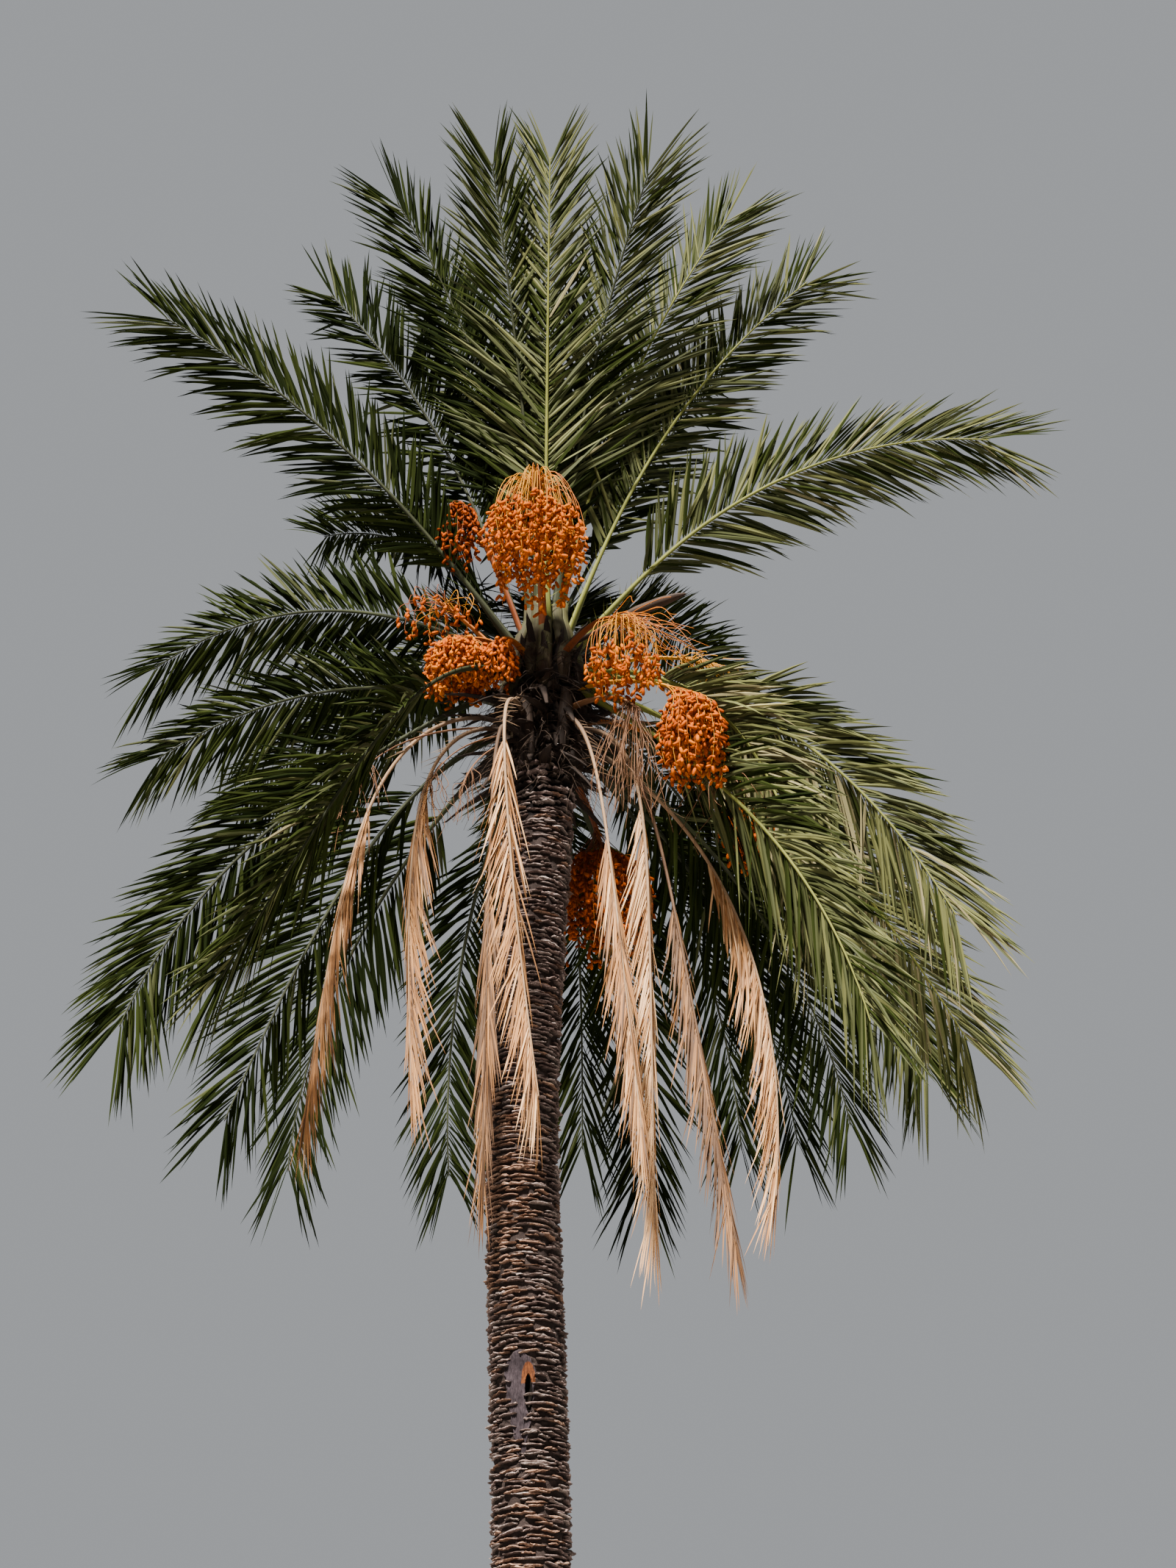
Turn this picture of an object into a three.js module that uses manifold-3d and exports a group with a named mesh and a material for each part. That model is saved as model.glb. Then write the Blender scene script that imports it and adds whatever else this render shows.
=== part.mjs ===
// A date palm tree: one bare trunk from a flat cut at ground level to its bud, green fronds, hanging dead
// fronds, fruit bunches and a dry sheath. Millimetres and degrees, +Z up, origin at the centre of the cut.
// +X is the right of the tree's front view, -Y is its front.
import * as THREE from "three";
import { mergeVertices } from "three/addons/utils/BufferGeometryUtils.js";
import Module from "manifold-3d";

const wasm = await Module();
wasm.setup();
const { Manifold, Mesh: SolidMesh } = wasm;

const GAP = 0.3; // between neighbouring solids
const LEAF_ROOM = 2; // between a leaflet and any other limb
const TRUNK_ROOM = 12; // between a leaflet's tip and the trunk
const DEG = Math.PI / 180;

// Trunk: a long shaft that flares at the ground, bows a little to the left and swells into the head of leaf
// bases. Its surface is a ring of points at each of its courses.
const TRUNK = {
  colour: 0x4a4038,
  roughness: 0.95,
  sides: 24,
  shaftRadius: 200, // at the ground, without the flare
  taper: 10, // lost on the way up to the head
  flare: 95, // added at the ground
  flareHeight: 280,
  flareLobes: 5,
  lobeDepth: 0.18,
  lean: 20, // to the right, at the head
  bow: 85, // to the left, at bowHeight
  bowHeight: 6800,
  bowReach: 1500,
  headFoot: 8600,
  headRadius: 238,
  headMiddle: 9250,
  tip: 10050,
  budFullness: 1.5,
  budPoint: 0.8,
  cutOff: 10000, // flat top of the bud
  courses: [0, 60, 140, 260, 420, 700, 1200, 2000, 2900, 3800, 4500, 5200, 5700, 6200, 6700, 7200, 7700, 8200,
    8600, 8800, 9000, 9250, 9420, 9560, 9680, 9780, 9860, 9930, 10000],
};

// A worn patch on the trunk's front, with a hole at its upper right. Both are cut with an egg-shaped tool.
const SCAR = { azimuth: 257, height: 5190, width: 165, tall: 560, depth: 16 };
const HOLE = { azimuth: 271, height: 5260, width: 42, tall: 190, depth: 65, inside: 10 };
const EGG = { around: 14, upright: 9 };

// One row for each frond: azimuth, rise at the root, droop to the tip, sweep of the azimuth, length, and for
// a frond that bends near its root the share of its length that the bend takes. Azimuth 0 is right, 90 back
// and 270 front. The roots take turns among the heights given. A leaflet is folded so far above its blade.
const UPRIGHT = {
  name: "upright_frond", colour: 0x5f6e43, roughness: 0.75,
  roots: [9860, 9740, 9800], fold: 24, leaflet: 620,
  rows: [
    [37, 68, 13, 2, 3050], [70, 77, 16, 0, 3050], [105, 80, 14, 0, 3050], [158, 79, 10, 4, 3050],
    [176, 74, 22, 2, 3100], [208, 84, 34, 8, 3100], [247, 79, 20, 7, 2950], [270, 78, 6, 2, 3120],
    [306, 82, 31, -5, 3000], [340, 79, 28, -5, 3050], [358, 73, 31, -5, 3150],
  ],
};
const SPREADING = {
  name: "spreading_frond", colour: 0x66753f, roughness: 0.75,
  roots: [9620], fold: 22, leaflet: 620,
  rows: [
    [62, 50, 52, 0, 3050], [86, 56, 48, 0, 3050], [112, 50, 48, 0, 3050], [134, 62, 40, 0, 3050],
    [157, 40, 54, -12, 3050], [202, 52, 30, -3, 2950], [348, 53, 62, 8, 3000],
  ],
};
const DROOPING = {
  name: "drooping_frond", colour: 0x6c7842, roughness: 0.75,
  roots: [9460, 9370], fold: 14, leaflet: 600,
  rows: [
    [14, -1, 60, 0, 3100, 0.45], [29, -12, 56, 8, 3100], [62, 18, 70, 0, 3050], [95, 20, 66, 0, 3050],
    [128, 32, 50, 8, 3050], [144, 33, 50, 5, 3000], [185, -32, 42, 2, 3100], [224, 16, 82, -13, 3150, 0.15],
    [355, 10, 76, 0, 2780, 0.6], [330, -42, 36, -3, 3100], [339, 6, 90, -4, 2450, 0.5],
  ],
};
const LOW = {
  name: "low_frond", colour: 0x4c5a38, roughness: 0.75,
  roots: [9220, 9140], fold: 16, leaflet: 560,
  rows: [
    [30, -24, 51, 16, 2850], [42, -18, 57, 18, 2850], [54, -12, 68, 16, 2950], [68, -19, 84, 12, 2900],
    [82, 0, 88, 8, 3050], [114, -22, 95, -12, 2800], [140, -27, 61, -7, 2950], [180, -25, 47, 4, 2850, 0.3],
  ],
};
const DEAD = {
  name: "dead_frond", colour: 0xc49a72, roughness: 0.85,
  roots: [9140, 9060], fold: -55, leaflet: 440, dry: true,
  rows: [
    [196, 24, 110, -4, 3000, 0.18], [209, 12, 106, 0, 2550, 0.18], [237, -2, 88, 0, 3000, 0.07],
    [248, 36, 118, 98, 3100, 0.12], [302, -28, 53, 0, 2950, 0.12], [329, 10, 100, 0, 3250, 0.1],
    [344, -15, 67, 0, 3350, 0.1], [354, -33, 63, 0, 3100, 0.95],
  ],
};
// Fronds that bend round a wide gap are two solids that meet at the bend: which rows, and the share of the
// blade up to the bend.
const SPLIT = { low_frond: { rows: [5, 6], bend: 0.4 }, dead_frond: { rows: [1, 2], bend: 0.12 } };

const FROND = {
  lineSteps: 80,
  sunk: 30, // how far inside the head a stalk starts, before it is cut clear of it
  stalkShare: 0.23, // bare stalk, before the blade begins
  stalkSteps: 3,
  bladeSteps: 16,
  width: 9, // of the rib at the tip
  widthRoot: 26, // added at the root
  widthBoot: 18, // added once more in the boot
  height: 8,
  heightRoot: 20,
  heightBoot: 12,
  boot: 0.05,
  roll: 68, // of a blade that grows to the left or right, so that it shows its face to the front
  rollDry: 0.5, // of a dead one, as a share of its azimuth's distance from the front
  wobble: 12, // more or less, from one frond to the next
  wobbleStep: 2.4,
  droopPower: 1.5,
  lean: [43, 16], // between leaflet and rib, at the blade's root and at its tip
  leanPower: 2.5, // the higher, the nearer to the tip is the change
  leanDry: [20, 10],
  shortTip: 0.15, // how much shorter the leaflets are at the tip
  shortRoot: 0.45, // and at the blade's root, over shortRootShare of it
  shortRootShare: 0.12,
  endLeaflet: 0.8,
  tries: [1, 0.72, 0.5], // shares of its length that a leaflet may have where it meets another limb
};

// One row for each fruit bunch: azimuth, root height, rise, droop and length of its stalk, then its strands,
// how far they reach out from the stalk's end, how far they hang, and half the width of the fruit on each
// strand, which is 0 for bare ones.
const BUNCHES = {
  name: "fruit_bunch", colour: 0xd0691b, roughness: 0.6,
  rows: [
    [266, 9690, 64, 34, 900, 8, 190, 680, 84], [207, 9690, 70, 15, 1000, 4, 60, 440, 55],
    [186, 9540, 50, 12, 640, 6, 230, 190, 32], [204, 9580, 34, 74, 400, 6, 130, 340, 62],
    [306, 9560, 18, 68, 640, 7, 210, 340, 40], [317, 9330, -15, 30, 1020, 8, 120, 420, 60],
    [21, 9300, 2, 45, 1150, 6, 120, 420, 62], [58, 9040, -20, 55, 620, 9, 190, 560, 82],
    [314, 9190, -5, 50, 610, 7, 136, 745, 0],
  ],
};
const STALK = { width: 48, depth: 26, slimmer: 0.45, steps: 4 };
const STRAND = {
  radius: 8,
  spread: 0.3, // share of the stalk that the strands leave from
  turn: 20, // from one bunch to the next
  innerEvery: 4,
  inner: 0.3, // how far out an inner strand reaches
  uneven: 0.12,
  unevenDrop: 0.18,
  arch: 0.04, // how far an inner strand rises, as a share of the hang
  sag: 0.06, // how far an outer one falls
  overlap: 0.12, // of strand and fruit
};
const CLUMP = { sides: 4, shoulder: 0.22, shoulderWidth: 0.8, belly: 0.75, bareWidth: 12 };
// The dry sheath of a bunch, a pointed boat. Its outline has shares of the length, each with a share of the
// full width and depth.
const SHEATH = {
  colour: 0x6b4a2f, roughness: 0.8,
  azimuth: 332, root: 9670, rise: 12, droop: 8, length: 780, width: 74, depth: 34, sides: 8,
  outline: [[0, 0.45], [0.3, 0.4], [0.45, 0.75], [0.62, 1], [0.8, 0.8], [0.93, 0.4]],
};

// Axis and radius of the trunk at a height.
function trunkAxis(height) {
  const bow = TRUNK.bow * Math.exp(-(((height - TRUNK.bowHeight) / TRUNK.bowReach) ** 2));
  return (TRUNK.lean * height) / TRUNK.headMiddle - bow;
}

function trunkRadius(height) {
  const shaft = TRUNK.shaftRadius - (TRUNK.taper * height) / TRUNK.headFoot;
  if (height <= TRUNK.headFoot) return shaft;
  if (height >= TRUNK.headMiddle) {
    const share = Math.min(1, (height - TRUNK.headMiddle) / (TRUNK.tip - TRUNK.headMiddle));
    return TRUNK.headRadius * (1 - share ** TRUNK.budFullness) ** TRUNK.budPoint;
  }
  const share = (height - TRUNK.headFoot) / (TRUNK.headMiddle - TRUNK.headFoot);
  return shaft + (TRUNK.headRadius - shaft) * share * share * (3 - 2 * share);
}

function rootFlare(height, angle) {
  const fade = Math.exp(-height / TRUNK.flareHeight);
  return TRUNK.flare * fade * (1 + TRUNK.lobeDepth * Math.cos(TRUNK.flareLobes * angle));
}

// Points and faces of one closed body.
class Body {
  points = [];
  faces = [];

  point(at) {
    return this.points.push(at.clone()) - 1;
  }

  ring(places) {
    return places.map((at) => this.point(at));
  }

  quad(a, b, c, d) {
    this.faces.push([a, b, c], [a, c, d]);
  }

  // A belt of quads between two rings, the lower one first. From above, its points go round anticlockwise.
  belt(low, high) {
    low.forEach((_, i) => {
      const j = (i + 1) % low.length;
      this.quad(low[i], low[j], high[j], high[i]);
    });
  }

  cap(ring, flip = false) {
    for (let i = 1; i + 1 < ring.length; i++) {
      this.faces.push(flip ? [ring[0], ring[i + 1], ring[i]] : [ring[0], ring[i], ring[i + 1]]);
    }
  }

  // A belt of triangles from a ring to one point.
  spike(ring, tip, flip = false) {
    const top = this.point(tip);
    ring.forEach((_, i) => {
      const j = (i + 1) % ring.length;
      this.faces.push(flip ? [ring[j], ring[i], top] : [ring[i], ring[j], top]);
    });
  }

  solid() {
    return new Manifold(new SolidMesh({
      numProp: 3,
      vertProperties: new Float32Array(this.points.flatMap((p) => p.toArray())),
      triVerts: new Uint32Array(this.faces.flat()),
    }));
  }
}

// The trunk grown by a margin all round, from its cut to the flat top of the bud.
function trunkSolid(margin = 0) {
  const body = new Body();
  let below = null;
  for (const height of TRUNK.courses) {
    const ring = body.ring(Array.from({ length: TRUNK.sides }, (_, i) => {
      const angle = (2 * Math.PI * i) / TRUNK.sides;
      const radius = trunkRadius(height) + rootFlare(height, angle) + margin;
      const lift = height === TRUNK.cutOff ? margin : 0;
      const across = trunkAxis(height) + radius * Math.cos(angle);
      return new THREE.Vector3(across, radius * Math.sin(angle), height + lift);
    }));
    if (below) body.belt(below, ring);
    else body.cap(ring, true);
    below = ring;
  }
  body.cap(below);
  return body.solid();
}

// An egg with its middle at the trunk's side, or so far inside it.
function scoop({ azimuth, height, width, tall, depth, inside = 0 }) {
  const reach = trunkRadius(height) - inside;
  const egg = new THREE.SphereGeometry(1, EGG.around, EGG.upright);
  egg.deleteAttribute("normal");
  egg.deleteAttribute("uv");
  egg.scale(depth, width / 2, tall / 2);
  egg.translate(reach, 0, 0);
  egg.rotateZ(azimuth * DEG);
  egg.translate(trunkAxis(height), 0, height);
  const merged = mergeVertices(egg);
  return new Manifold(new SolidMesh({
    numProp: 3,
    vertProperties: merged.attributes.position.array,
    triVerts: new Uint32Array(merged.index.array),
  }));
}

function direction(elevation, turned) {
  const level = Math.cos(elevation);
  return new THREE.Vector3(level * Math.cos(turned), level * Math.sin(turned), Math.sin(elevation));
}

// The bent line of a frond or stalk: it leaves the head at its azimuth and rise. The elevation falls by the
// droop, little at first and more towards the tip, or soon after the root where a hinge is given, and the
// azimuth turns by the sweep. Its frame turns about the line by the twist, most of it in the first half.
function limb({ azimuth, root, rise, droop, sweep = 0, length, hinge, twist = 0 }) {
  const hinged = (t) => (1 - Math.exp(-t / hinge)) / (1 - Math.exp(-1 / hinge));
  const bend = (t) => (hinge ? hinged(t) : t ** FROND.droopPower);
  const heading = (t) => [(rise - droop * bend(t)) * DEG, (azimuth + sweep * t) * DEG];
  const inset = trunkRadius(root) - FROND.sunk;
  const start = direction(0, azimuth * DEG).multiplyScalar(inset);
  start.add(new THREE.Vector3(trunkAxis(root), 0, root));
  const steps = FROND.lineSteps;
  const places = [start];
  for (let i = 0; i < steps; i++) {
    const middle = direction(...heading((i + 0.5) / steps));
    places.push(places[i].clone().addScaledVector(middle, length / steps));
  }
  return {
    start,
    length,
    frame(t) {
      const place = Math.min(t, 1) * steps;
      const i = Math.min(Math.floor(place), steps - 1);
      const at = places[i].clone().lerp(places[i + 1], place - i);
      const [elevation, turned] = heading(t);
      const along = direction(elevation, turned);
      const turn = twist * DEG * (1 - (1 - t) ** 3);
      const side = direction(0, turned + Math.PI / 2).applyAxisAngle(along, turn);
      return { at, along, side, up: along.clone().cross(side) };
    },
  };
}

// Four corners of a rib's section: right bottom, left bottom, left top, right top, seen from the root.
function section({ at, side, up }, width, height) {
  return [[-1, -1], [1, -1], [1, 1], [-1, 1]].map(([s, u]) =>
    at.clone().addScaledVector(side, (s * width) / 2).addScaledVector(up, (u * height) / 2));
}

// A convex piece of a limb, kept for the test of what a leaflet may touch.
function block(owner, points, faces) {
  const box = new THREE.Box3().setFromPoints(points);
  const normals = faces.map(([a, b, c]) => new THREE.Vector3()
    .crossVectors(points[b].clone().sub(points[a]), points[c].clone().sub(points[a])).normalize());
  const edges = [];
  for (const [a, b, c] of faces) {
    for (const [i, j] of [[a, b], [b, c], [c, a]]) {
      if (i < j) edges.push(points[j].clone().sub(points[i]).normalize());
    }
  }
  return { owner, points, box, normals, edges };
}

const SEGMENT_FACES = [
  [0, 1, 5], [0, 5, 4], [1, 2, 6], [1, 6, 5], [2, 3, 7], [2, 7, 6],
  [3, 0, 4], [3, 4, 7], [0, 2, 1], [0, 3, 2], [4, 5, 6], [4, 6, 7],
];
const TOOTH_FACES = [[0, 1, 4], [1, 2, 4], [2, 3, 4], [3, 0, 4], [0, 2, 1], [0, 3, 2]];

const PARALLEL = 1e-6; // squared length of the cross product of two edges that run the same way

// Two convex pieces are apart where some direction shows more than the room between their shadows.
function apart(a, b, room) {
  const clear = (axis) => {
    let [lowA, highA, lowB, highB] = [Infinity, -Infinity, Infinity, -Infinity];
    for (const p of a.points) {
      const d = p.dot(axis);
      lowA = Math.min(lowA, d);
      highA = Math.max(highA, d);
    }
    for (const p of b.points) {
      const d = p.dot(axis);
      lowB = Math.min(lowB, d);
      highB = Math.max(highB, d);
    }
    return lowB - highA > room || lowA - highB > room;
  };
  if (a.normals.some(clear) || b.normals.some(clear)) return true;
  const axis = new THREE.Vector3();
  for (const e of a.edges) {
    for (const f of b.edges) {
      axis.crossVectors(e, f);
      if (axis.lengthSq() > PARALLEL && clear(axis.normalize())) return true;
    }
  }
  return false;
}

function touches(piece, others) {
  const near = piece.box.clone().expandByScalar(LEAF_ROOM);
  const foreign = others.filter((other) => other.owner !== piece.owner && other.box.intersectsBox(near));
  return foreign.some((other) => !apart(piece, other, LEAF_ROOM));
}

function insideTrunk(point) {
  if (point.z > TRUNK.cutOff + TRUNK_ROOM) return false;
  const away = Math.hypot(point.x - trunkAxis(point.z), point.y);
  return away < trunkRadius(point.z) + TRUNK_ROOM;
}

// The rib is slimmer towards the tip, and widest in the boot at its root.
function ribWidth(t) {
  return FROND.width + FROND.widthRoot * (1 - t) + FROND.widthBoot * Math.exp(-t / FROND.boot);
}

function ribHeight(t) {
  return FROND.height + FROND.heightRoot * (1 - t) + FROND.heightBoot * Math.exp(-t / FROND.boot);
}

// Where a leaflet's tip lies, u of the way along the blade, for a share of the leaflet's length.
function leafletTip(frame, u, sign, kind) {
  const [root, end] = kind.dry ? FROND.leanDry : FROND.lean;
  const lean = (root + (end - root) * u ** FROND.leanPower) * DEG;
  const fold = kind.fold * DEG; // above the plane of the blade
  const grown = 1 - FROND.shortRoot * Math.max(0, 1 - u / FROND.shortRootShare);
  const reach = kind.leaflet * grown * (1 - FROND.shortTip * u * u);
  return (share) => frame.at.clone()
    .addScaledVector(frame.along, share * reach * Math.cos(lean))
    .addScaledVector(frame.side, share * reach * sign * Math.sin(lean) * Math.cos(fold))
    .addScaledVector(frame.up, share * reach * Math.sin(lean) * Math.sin(fold));
}

// A frond has a bare stalk, then a rib with a leaflet on each side of every interval, and one at the tip.
function frondPlan(kind, row, index) {
  const [azimuth, rise, droop, sweep, length, hinge] = row;
  const root = kind.roots[index % kind.roots.length];
  const wobble = FROND.wobble * Math.sin(FROND.wobbleStep * (index + kind.rows.length));
  const roll = kind.dry ? FROND.rollDry * (azimuth - 270) : -FROND.roll * Math.cos(azimuth * DEG);
  const line = limb({ azimuth, root, rise, droop, sweep, length, hinge, twist: wobble + roll });
  const { stalkShare, stalkSteps, bladeSteps } = FROND;
  const shares = [];
  for (let i = 0; i < stalkSteps; i++) shares.push((stalkShare * i) / stalkSteps);
  for (let i = 0; i <= bladeSteps; i++) shares.push(stalkShare + ((1 - stalkShare) * i) / bladeSteps);
  const name = `${kind.name}_${index + 1}`;
  const rings = shares.map((t) => section(line.frame(t), ribWidth(t), ribHeight(t)));
  const segments = rings.slice(1).map((ring, i) => block(name, [...rings[i], ...ring], SEGMENT_FACES));
  const split = SPLIT[kind.name]?.rows.includes(index + 1) ? SPLIT[kind.name].bend : 0;
  return { name, kind, line, shares, rings, segments, split };
}

// The tips of the leaflets that are clear of every other limb, shortened or left out where they aren't.
function growLeaflets(plan, others) {
  const { shares, rings, line, kind, name } = plan;
  plan.tips = shares.map(() => ({}));
  for (let i = FROND.stalkSteps; i < shares.length - 1; i++) {
    const middle = (shares[i] + shares[i + 1]) / 2;
    const u = (middle - FROND.stalkShare) / (1 - FROND.stalkShare);
    for (const sign of [1, -1]) {
      const corners = sign > 0 ? [1, 2] : [3, 0];
      const [low, high] = corners;
      const base = [rings[i][low], rings[i + 1][low], rings[i + 1][high], rings[i][high]];
      const tipAt = leafletTip(line.frame(middle), u, sign, kind);
      for (const share of FROND.tries) {
        const tip = tipAt(share);
        const tooth = block(name, [...base, tip], TOOTH_FACES);
        if (insideTrunk(tip) || touches(tooth, others)) continue;
        plan.tips[i][sign] = tip;
        others.push(tooth);
        break;
      }
    }
  }
}

// The body of a frond between two of its rings, with its leaflets.
function frondBody(plan, first, last) {
  const body = new Body();
  const rings = plan.rings.slice(first, last + 1);
  if (first > 0) {
    const t = plan.shares[first] + GAP / plan.line.length;
    rings[0] = section(plan.line.frame(t), ribWidth(t), ribHeight(t));
  }
  let back = body.ring(rings[0]);
  body.cap(back, true);
  for (let i = 1; i < rings.length; i++) {
    const next = body.ring(rings[i]);
    const tips = plan.tips[first + i - 1];
    body.quad(back[0], back[1], next[1], next[0]); // underside
    body.quad(back[2], back[3], next[3], next[2]); // top
    for (const [sign, a, b] of [[1, 1, 2], [-1, 3, 0]]) {
      if (tips[sign]) body.spike([back[a], back[b], next[b], next[a]], tips[sign]);
      else body.quad(back[a], back[b], next[b], next[a]);
    }
    back = next;
  }
  if (last === plan.rings.length - 1) {
    const end = plan.line.frame(1);
    const leaflet = FROND.endLeaflet * plan.kind.leaflet;
    body.spike(back, end.at.clone().addScaledVector(end.along, leaflet));
  } else body.cap(back);
  return body.solid();
}

// A four-sided tube of falling width along a limb, for a fruit stalk.
function stalkBody(line) {
  const body = new Body();
  let back = null;
  for (let i = 0; i <= STALK.steps; i++) {
    const t = i / STALK.steps;
    const slim = 1 - STALK.slimmer * t;
    const ring = body.ring(section(line.frame(t), STALK.width * slim, STALK.depth * slim));
    if (back) body.belt(back, ring);
    else body.cap(ring, true);
    back = ring;
  }
  body.cap(back);
  return body.solid();
}

const UPRIGHT_STRAND = 1; // squared length under which a strand counts as hanging straight down

// A three-sided strand through some places, which lie in one upright plane.
function strandBody(places) {
  const body = new Body();
  const side = new THREE.Vector3(0, 0, 1).cross(places[1].clone().sub(places[0]));
  if (side.lengthSq() < UPRIGHT_STRAND) side.set(1, 0, 0);
  side.normalize();
  let back = null;
  places.forEach((at, i) => {
    const next = places[Math.min(i + 1, places.length - 1)];
    const last = places[Math.max(i - 1, 0)];
    const along = next.clone().sub(last).normalize();
    const up = along.clone().cross(side);
    const ring = body.ring([0, 120, 240].map((angle) => at.clone()
      .addScaledVector(side, STRAND.radius * Math.cos(angle * DEG))
      .addScaledVector(up, STRAND.radius * Math.sin(angle * DEG))));
    if (back) body.belt(back, ring);
    else body.cap(ring, true);
    back = ring;
  });
  body.cap(back);
  return body.solid();
}

// A hanging spindle of fruit: pointed at both ends, fullest below its middle.
function clumpPoints(top, hang, half) {
  const ring = (down, radius) => Array.from({ length: CLUMP.sides }, (_, k) => {
    const angle = (2 * Math.PI * k) / CLUMP.sides;
    return new THREE.Vector3(radius * Math.cos(angle), radius * Math.sin(angle), -down).add(top);
  });
  return {
    tips: [top.clone(), new THREE.Vector3(0, 0, -hang).add(top)],
    rings: [
      ring(CLUMP.shoulder * hang, CLUMP.shoulderWidth * half),
      ring(CLUMP.belly * hang, half),
    ],
  };
}

function clumpBody(top, hang, half) {
  const body = new Body();
  const { tips, rings } = clumpPoints(top, hang, half);
  const [high, low] = rings.map((ring) => body.ring(ring));
  body.belt(low, high);
  body.spike(high, tips[0]);
  body.spike(low, tips[1], true);
  return body.solid();
}

function clumpBlock(name, top, hang, half) {
  const { tips, rings } = clumpPoints(top, hang, half);
  const faces = [];
  for (let k = 0; k < CLUMP.sides; k++) {
    const [a, b] = [2 + k, 2 + ((k + 1) % CLUMP.sides)];
    const [c, d] = [a + CLUMP.sides, b + CLUMP.sides];
    faces.push([a, b, 0], [d, c, 1], [c, d, b], [c, b, a]);
  }
  return block(name, [...tips, ...rings[0], ...rings[1]], faces);
}

// Strands leave the end of a bunch's stalk all round, arch out to a shoulder and hang, some of them inside.
function bunchPlan(row, index) {
  const [azimuth, root, rise, droop, length, strands, reach, hang, half] = row;
  const line = limb({ azimuth, root, rise, droop, length });
  const name = `${BUNCHES.name}_${index + 1}`;
  const end = line.frame(1).at;
  const hung = Array.from({ length: strands }, (_, k) => {
    const around = ((k * 360) / strands + STRAND.turn * index) * DEG;
    const inner = k % STRAND.innerEvery === STRAND.innerEvery - 1;
    const uneven = 1 - STRAND.uneven + STRAND.uneven * Math.cos(3 * k);
    const out = reach * (inner ? STRAND.inner : 1) * uneven;
    const lift = (inner ? STRAND.arch : -STRAND.sag) * hang;
    const shoulder = direction(0, around).multiplyScalar(out).add(end);
    shoulder.z += lift;
    const drop = hang * (1 - STRAND.unevenDrop + STRAND.unevenDrop * Math.cos(2 * k + index));
    const start = line.frame(1 - (STRAND.spread * k) / strands).at;
    return { start, shoulder, drop, foot: new THREE.Vector3(0, 0, -drop).add(shoulder) };
  });
  const blocks = hung.map(({ shoulder, drop }) => clumpBlock(name, shoulder, drop, half || CLUMP.bareWidth));
  const rings = Array.from({ length: STALK.steps + 1 }, (_, i) =>
    section(line.frame(i / STALK.steps), STALK.width, STALK.depth));
  rings.slice(1).forEach((ring, i) => blocks.push(block(name, [...rings[i], ...ring], SEGMENT_FACES)));
  return { name, line, hung, half, blocks };
}

function bunchBody({ line, hung, half }) {
  const parts = [stalkBody(line)];
  for (const { start, shoulder, drop, foot } of hung) {
    if (half) {
      const inFruit = new THREE.Vector3(0, 0, -STRAND.overlap * drop).add(shoulder);
      parts.push(strandBody([start, inFruit]));
      parts.push(clumpBody(shoulder, drop, half));
    } else parts.push(strandBody([start, shoulder, foot]));
  }
  return Manifold.union(parts);
}

function sheathBody() {
  const line = limb(SHEATH);
  const body = new Body();
  let back = null;
  for (const [t, full] of SHEATH.outline) {
    const { at, side, up } = line.frame(t);
    const ring = body.ring(Array.from({ length: SHEATH.sides }, (_, k) => {
      const angle = (2 * Math.PI * k) / SHEATH.sides;
      return at.clone()
        .addScaledVector(side, (full * SHEATH.width * Math.cos(angle)) / 2)
        .addScaledVector(up, (full * SHEATH.depth * Math.sin(angle)) / 2);
    }));
    if (back) body.belt(back, ring);
    else body.cap(ring, true);
    back = ring;
  }
  body.spike(back, line.frame(1).at);
  return { line, solid: body.solid() };
}

// The largest body of a solid, so that a cut leaves no scrap.
function largest(solid) {
  return solid.decompose().sort((a, b) => b.volume() - a.volume())[0];
}

// A named mesh with its own origin, in the finish that a table gives.
function addMesh(group, name, solid, { colour, roughness }, origin = new THREE.Vector3()) {
  const { vertProperties, triVerts, numProp } = solid.getMesh();
  const places = new Float32Array((vertProperties.length / numProp) * 3);
  for (let i = 0; i < places.length / 3; i++) {
    for (let k = 0; k < 3; k++) places[3 * i + k] = vertProperties[numProp * i + k];
  }
  const geometry = new THREE.BufferGeometry();
  geometry.setAttribute("position", new THREE.BufferAttribute(places, 3));
  geometry.setIndex(new THREE.BufferAttribute(new Uint32Array(triVerts), 1));
  geometry.translate(-origin.x, -origin.y, -origin.z);
  geometry.computeVertexNormals();
  const finish = new THREE.MeshStandardMaterial({ color: colour, roughness, metalness: 0 });
  const mesh = new THREE.Mesh(geometry, finish);
  mesh.name = name;
  mesh.position.copy(origin);
  group.add(mesh);
}

const palm = new THREE.Group();
palm.name = "date_palm_tree";
const crown = new THREE.Group();
palm.add(crown);

const trunk = trunkSolid().subtract(scoop(SCAR)).subtract(scoop(HOLE));
addMesh(palm, "trunk", trunk, TRUNK);
const headCut = trunkSolid(GAP);

const bunches = BUNCHES.rows.map(bunchPlan);
const kinds = [UPRIGHT, SPREADING, DROOPING, LOW, DEAD];
const fronds = kinds.flatMap((kind) => kind.rows.map((row, i) => frondPlan(kind, row, i)));
const sheath = sheathBody();
const limbs = [...fronds.flatMap((f) => f.segments), ...bunches.flatMap((b) => b.blocks)];

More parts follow.
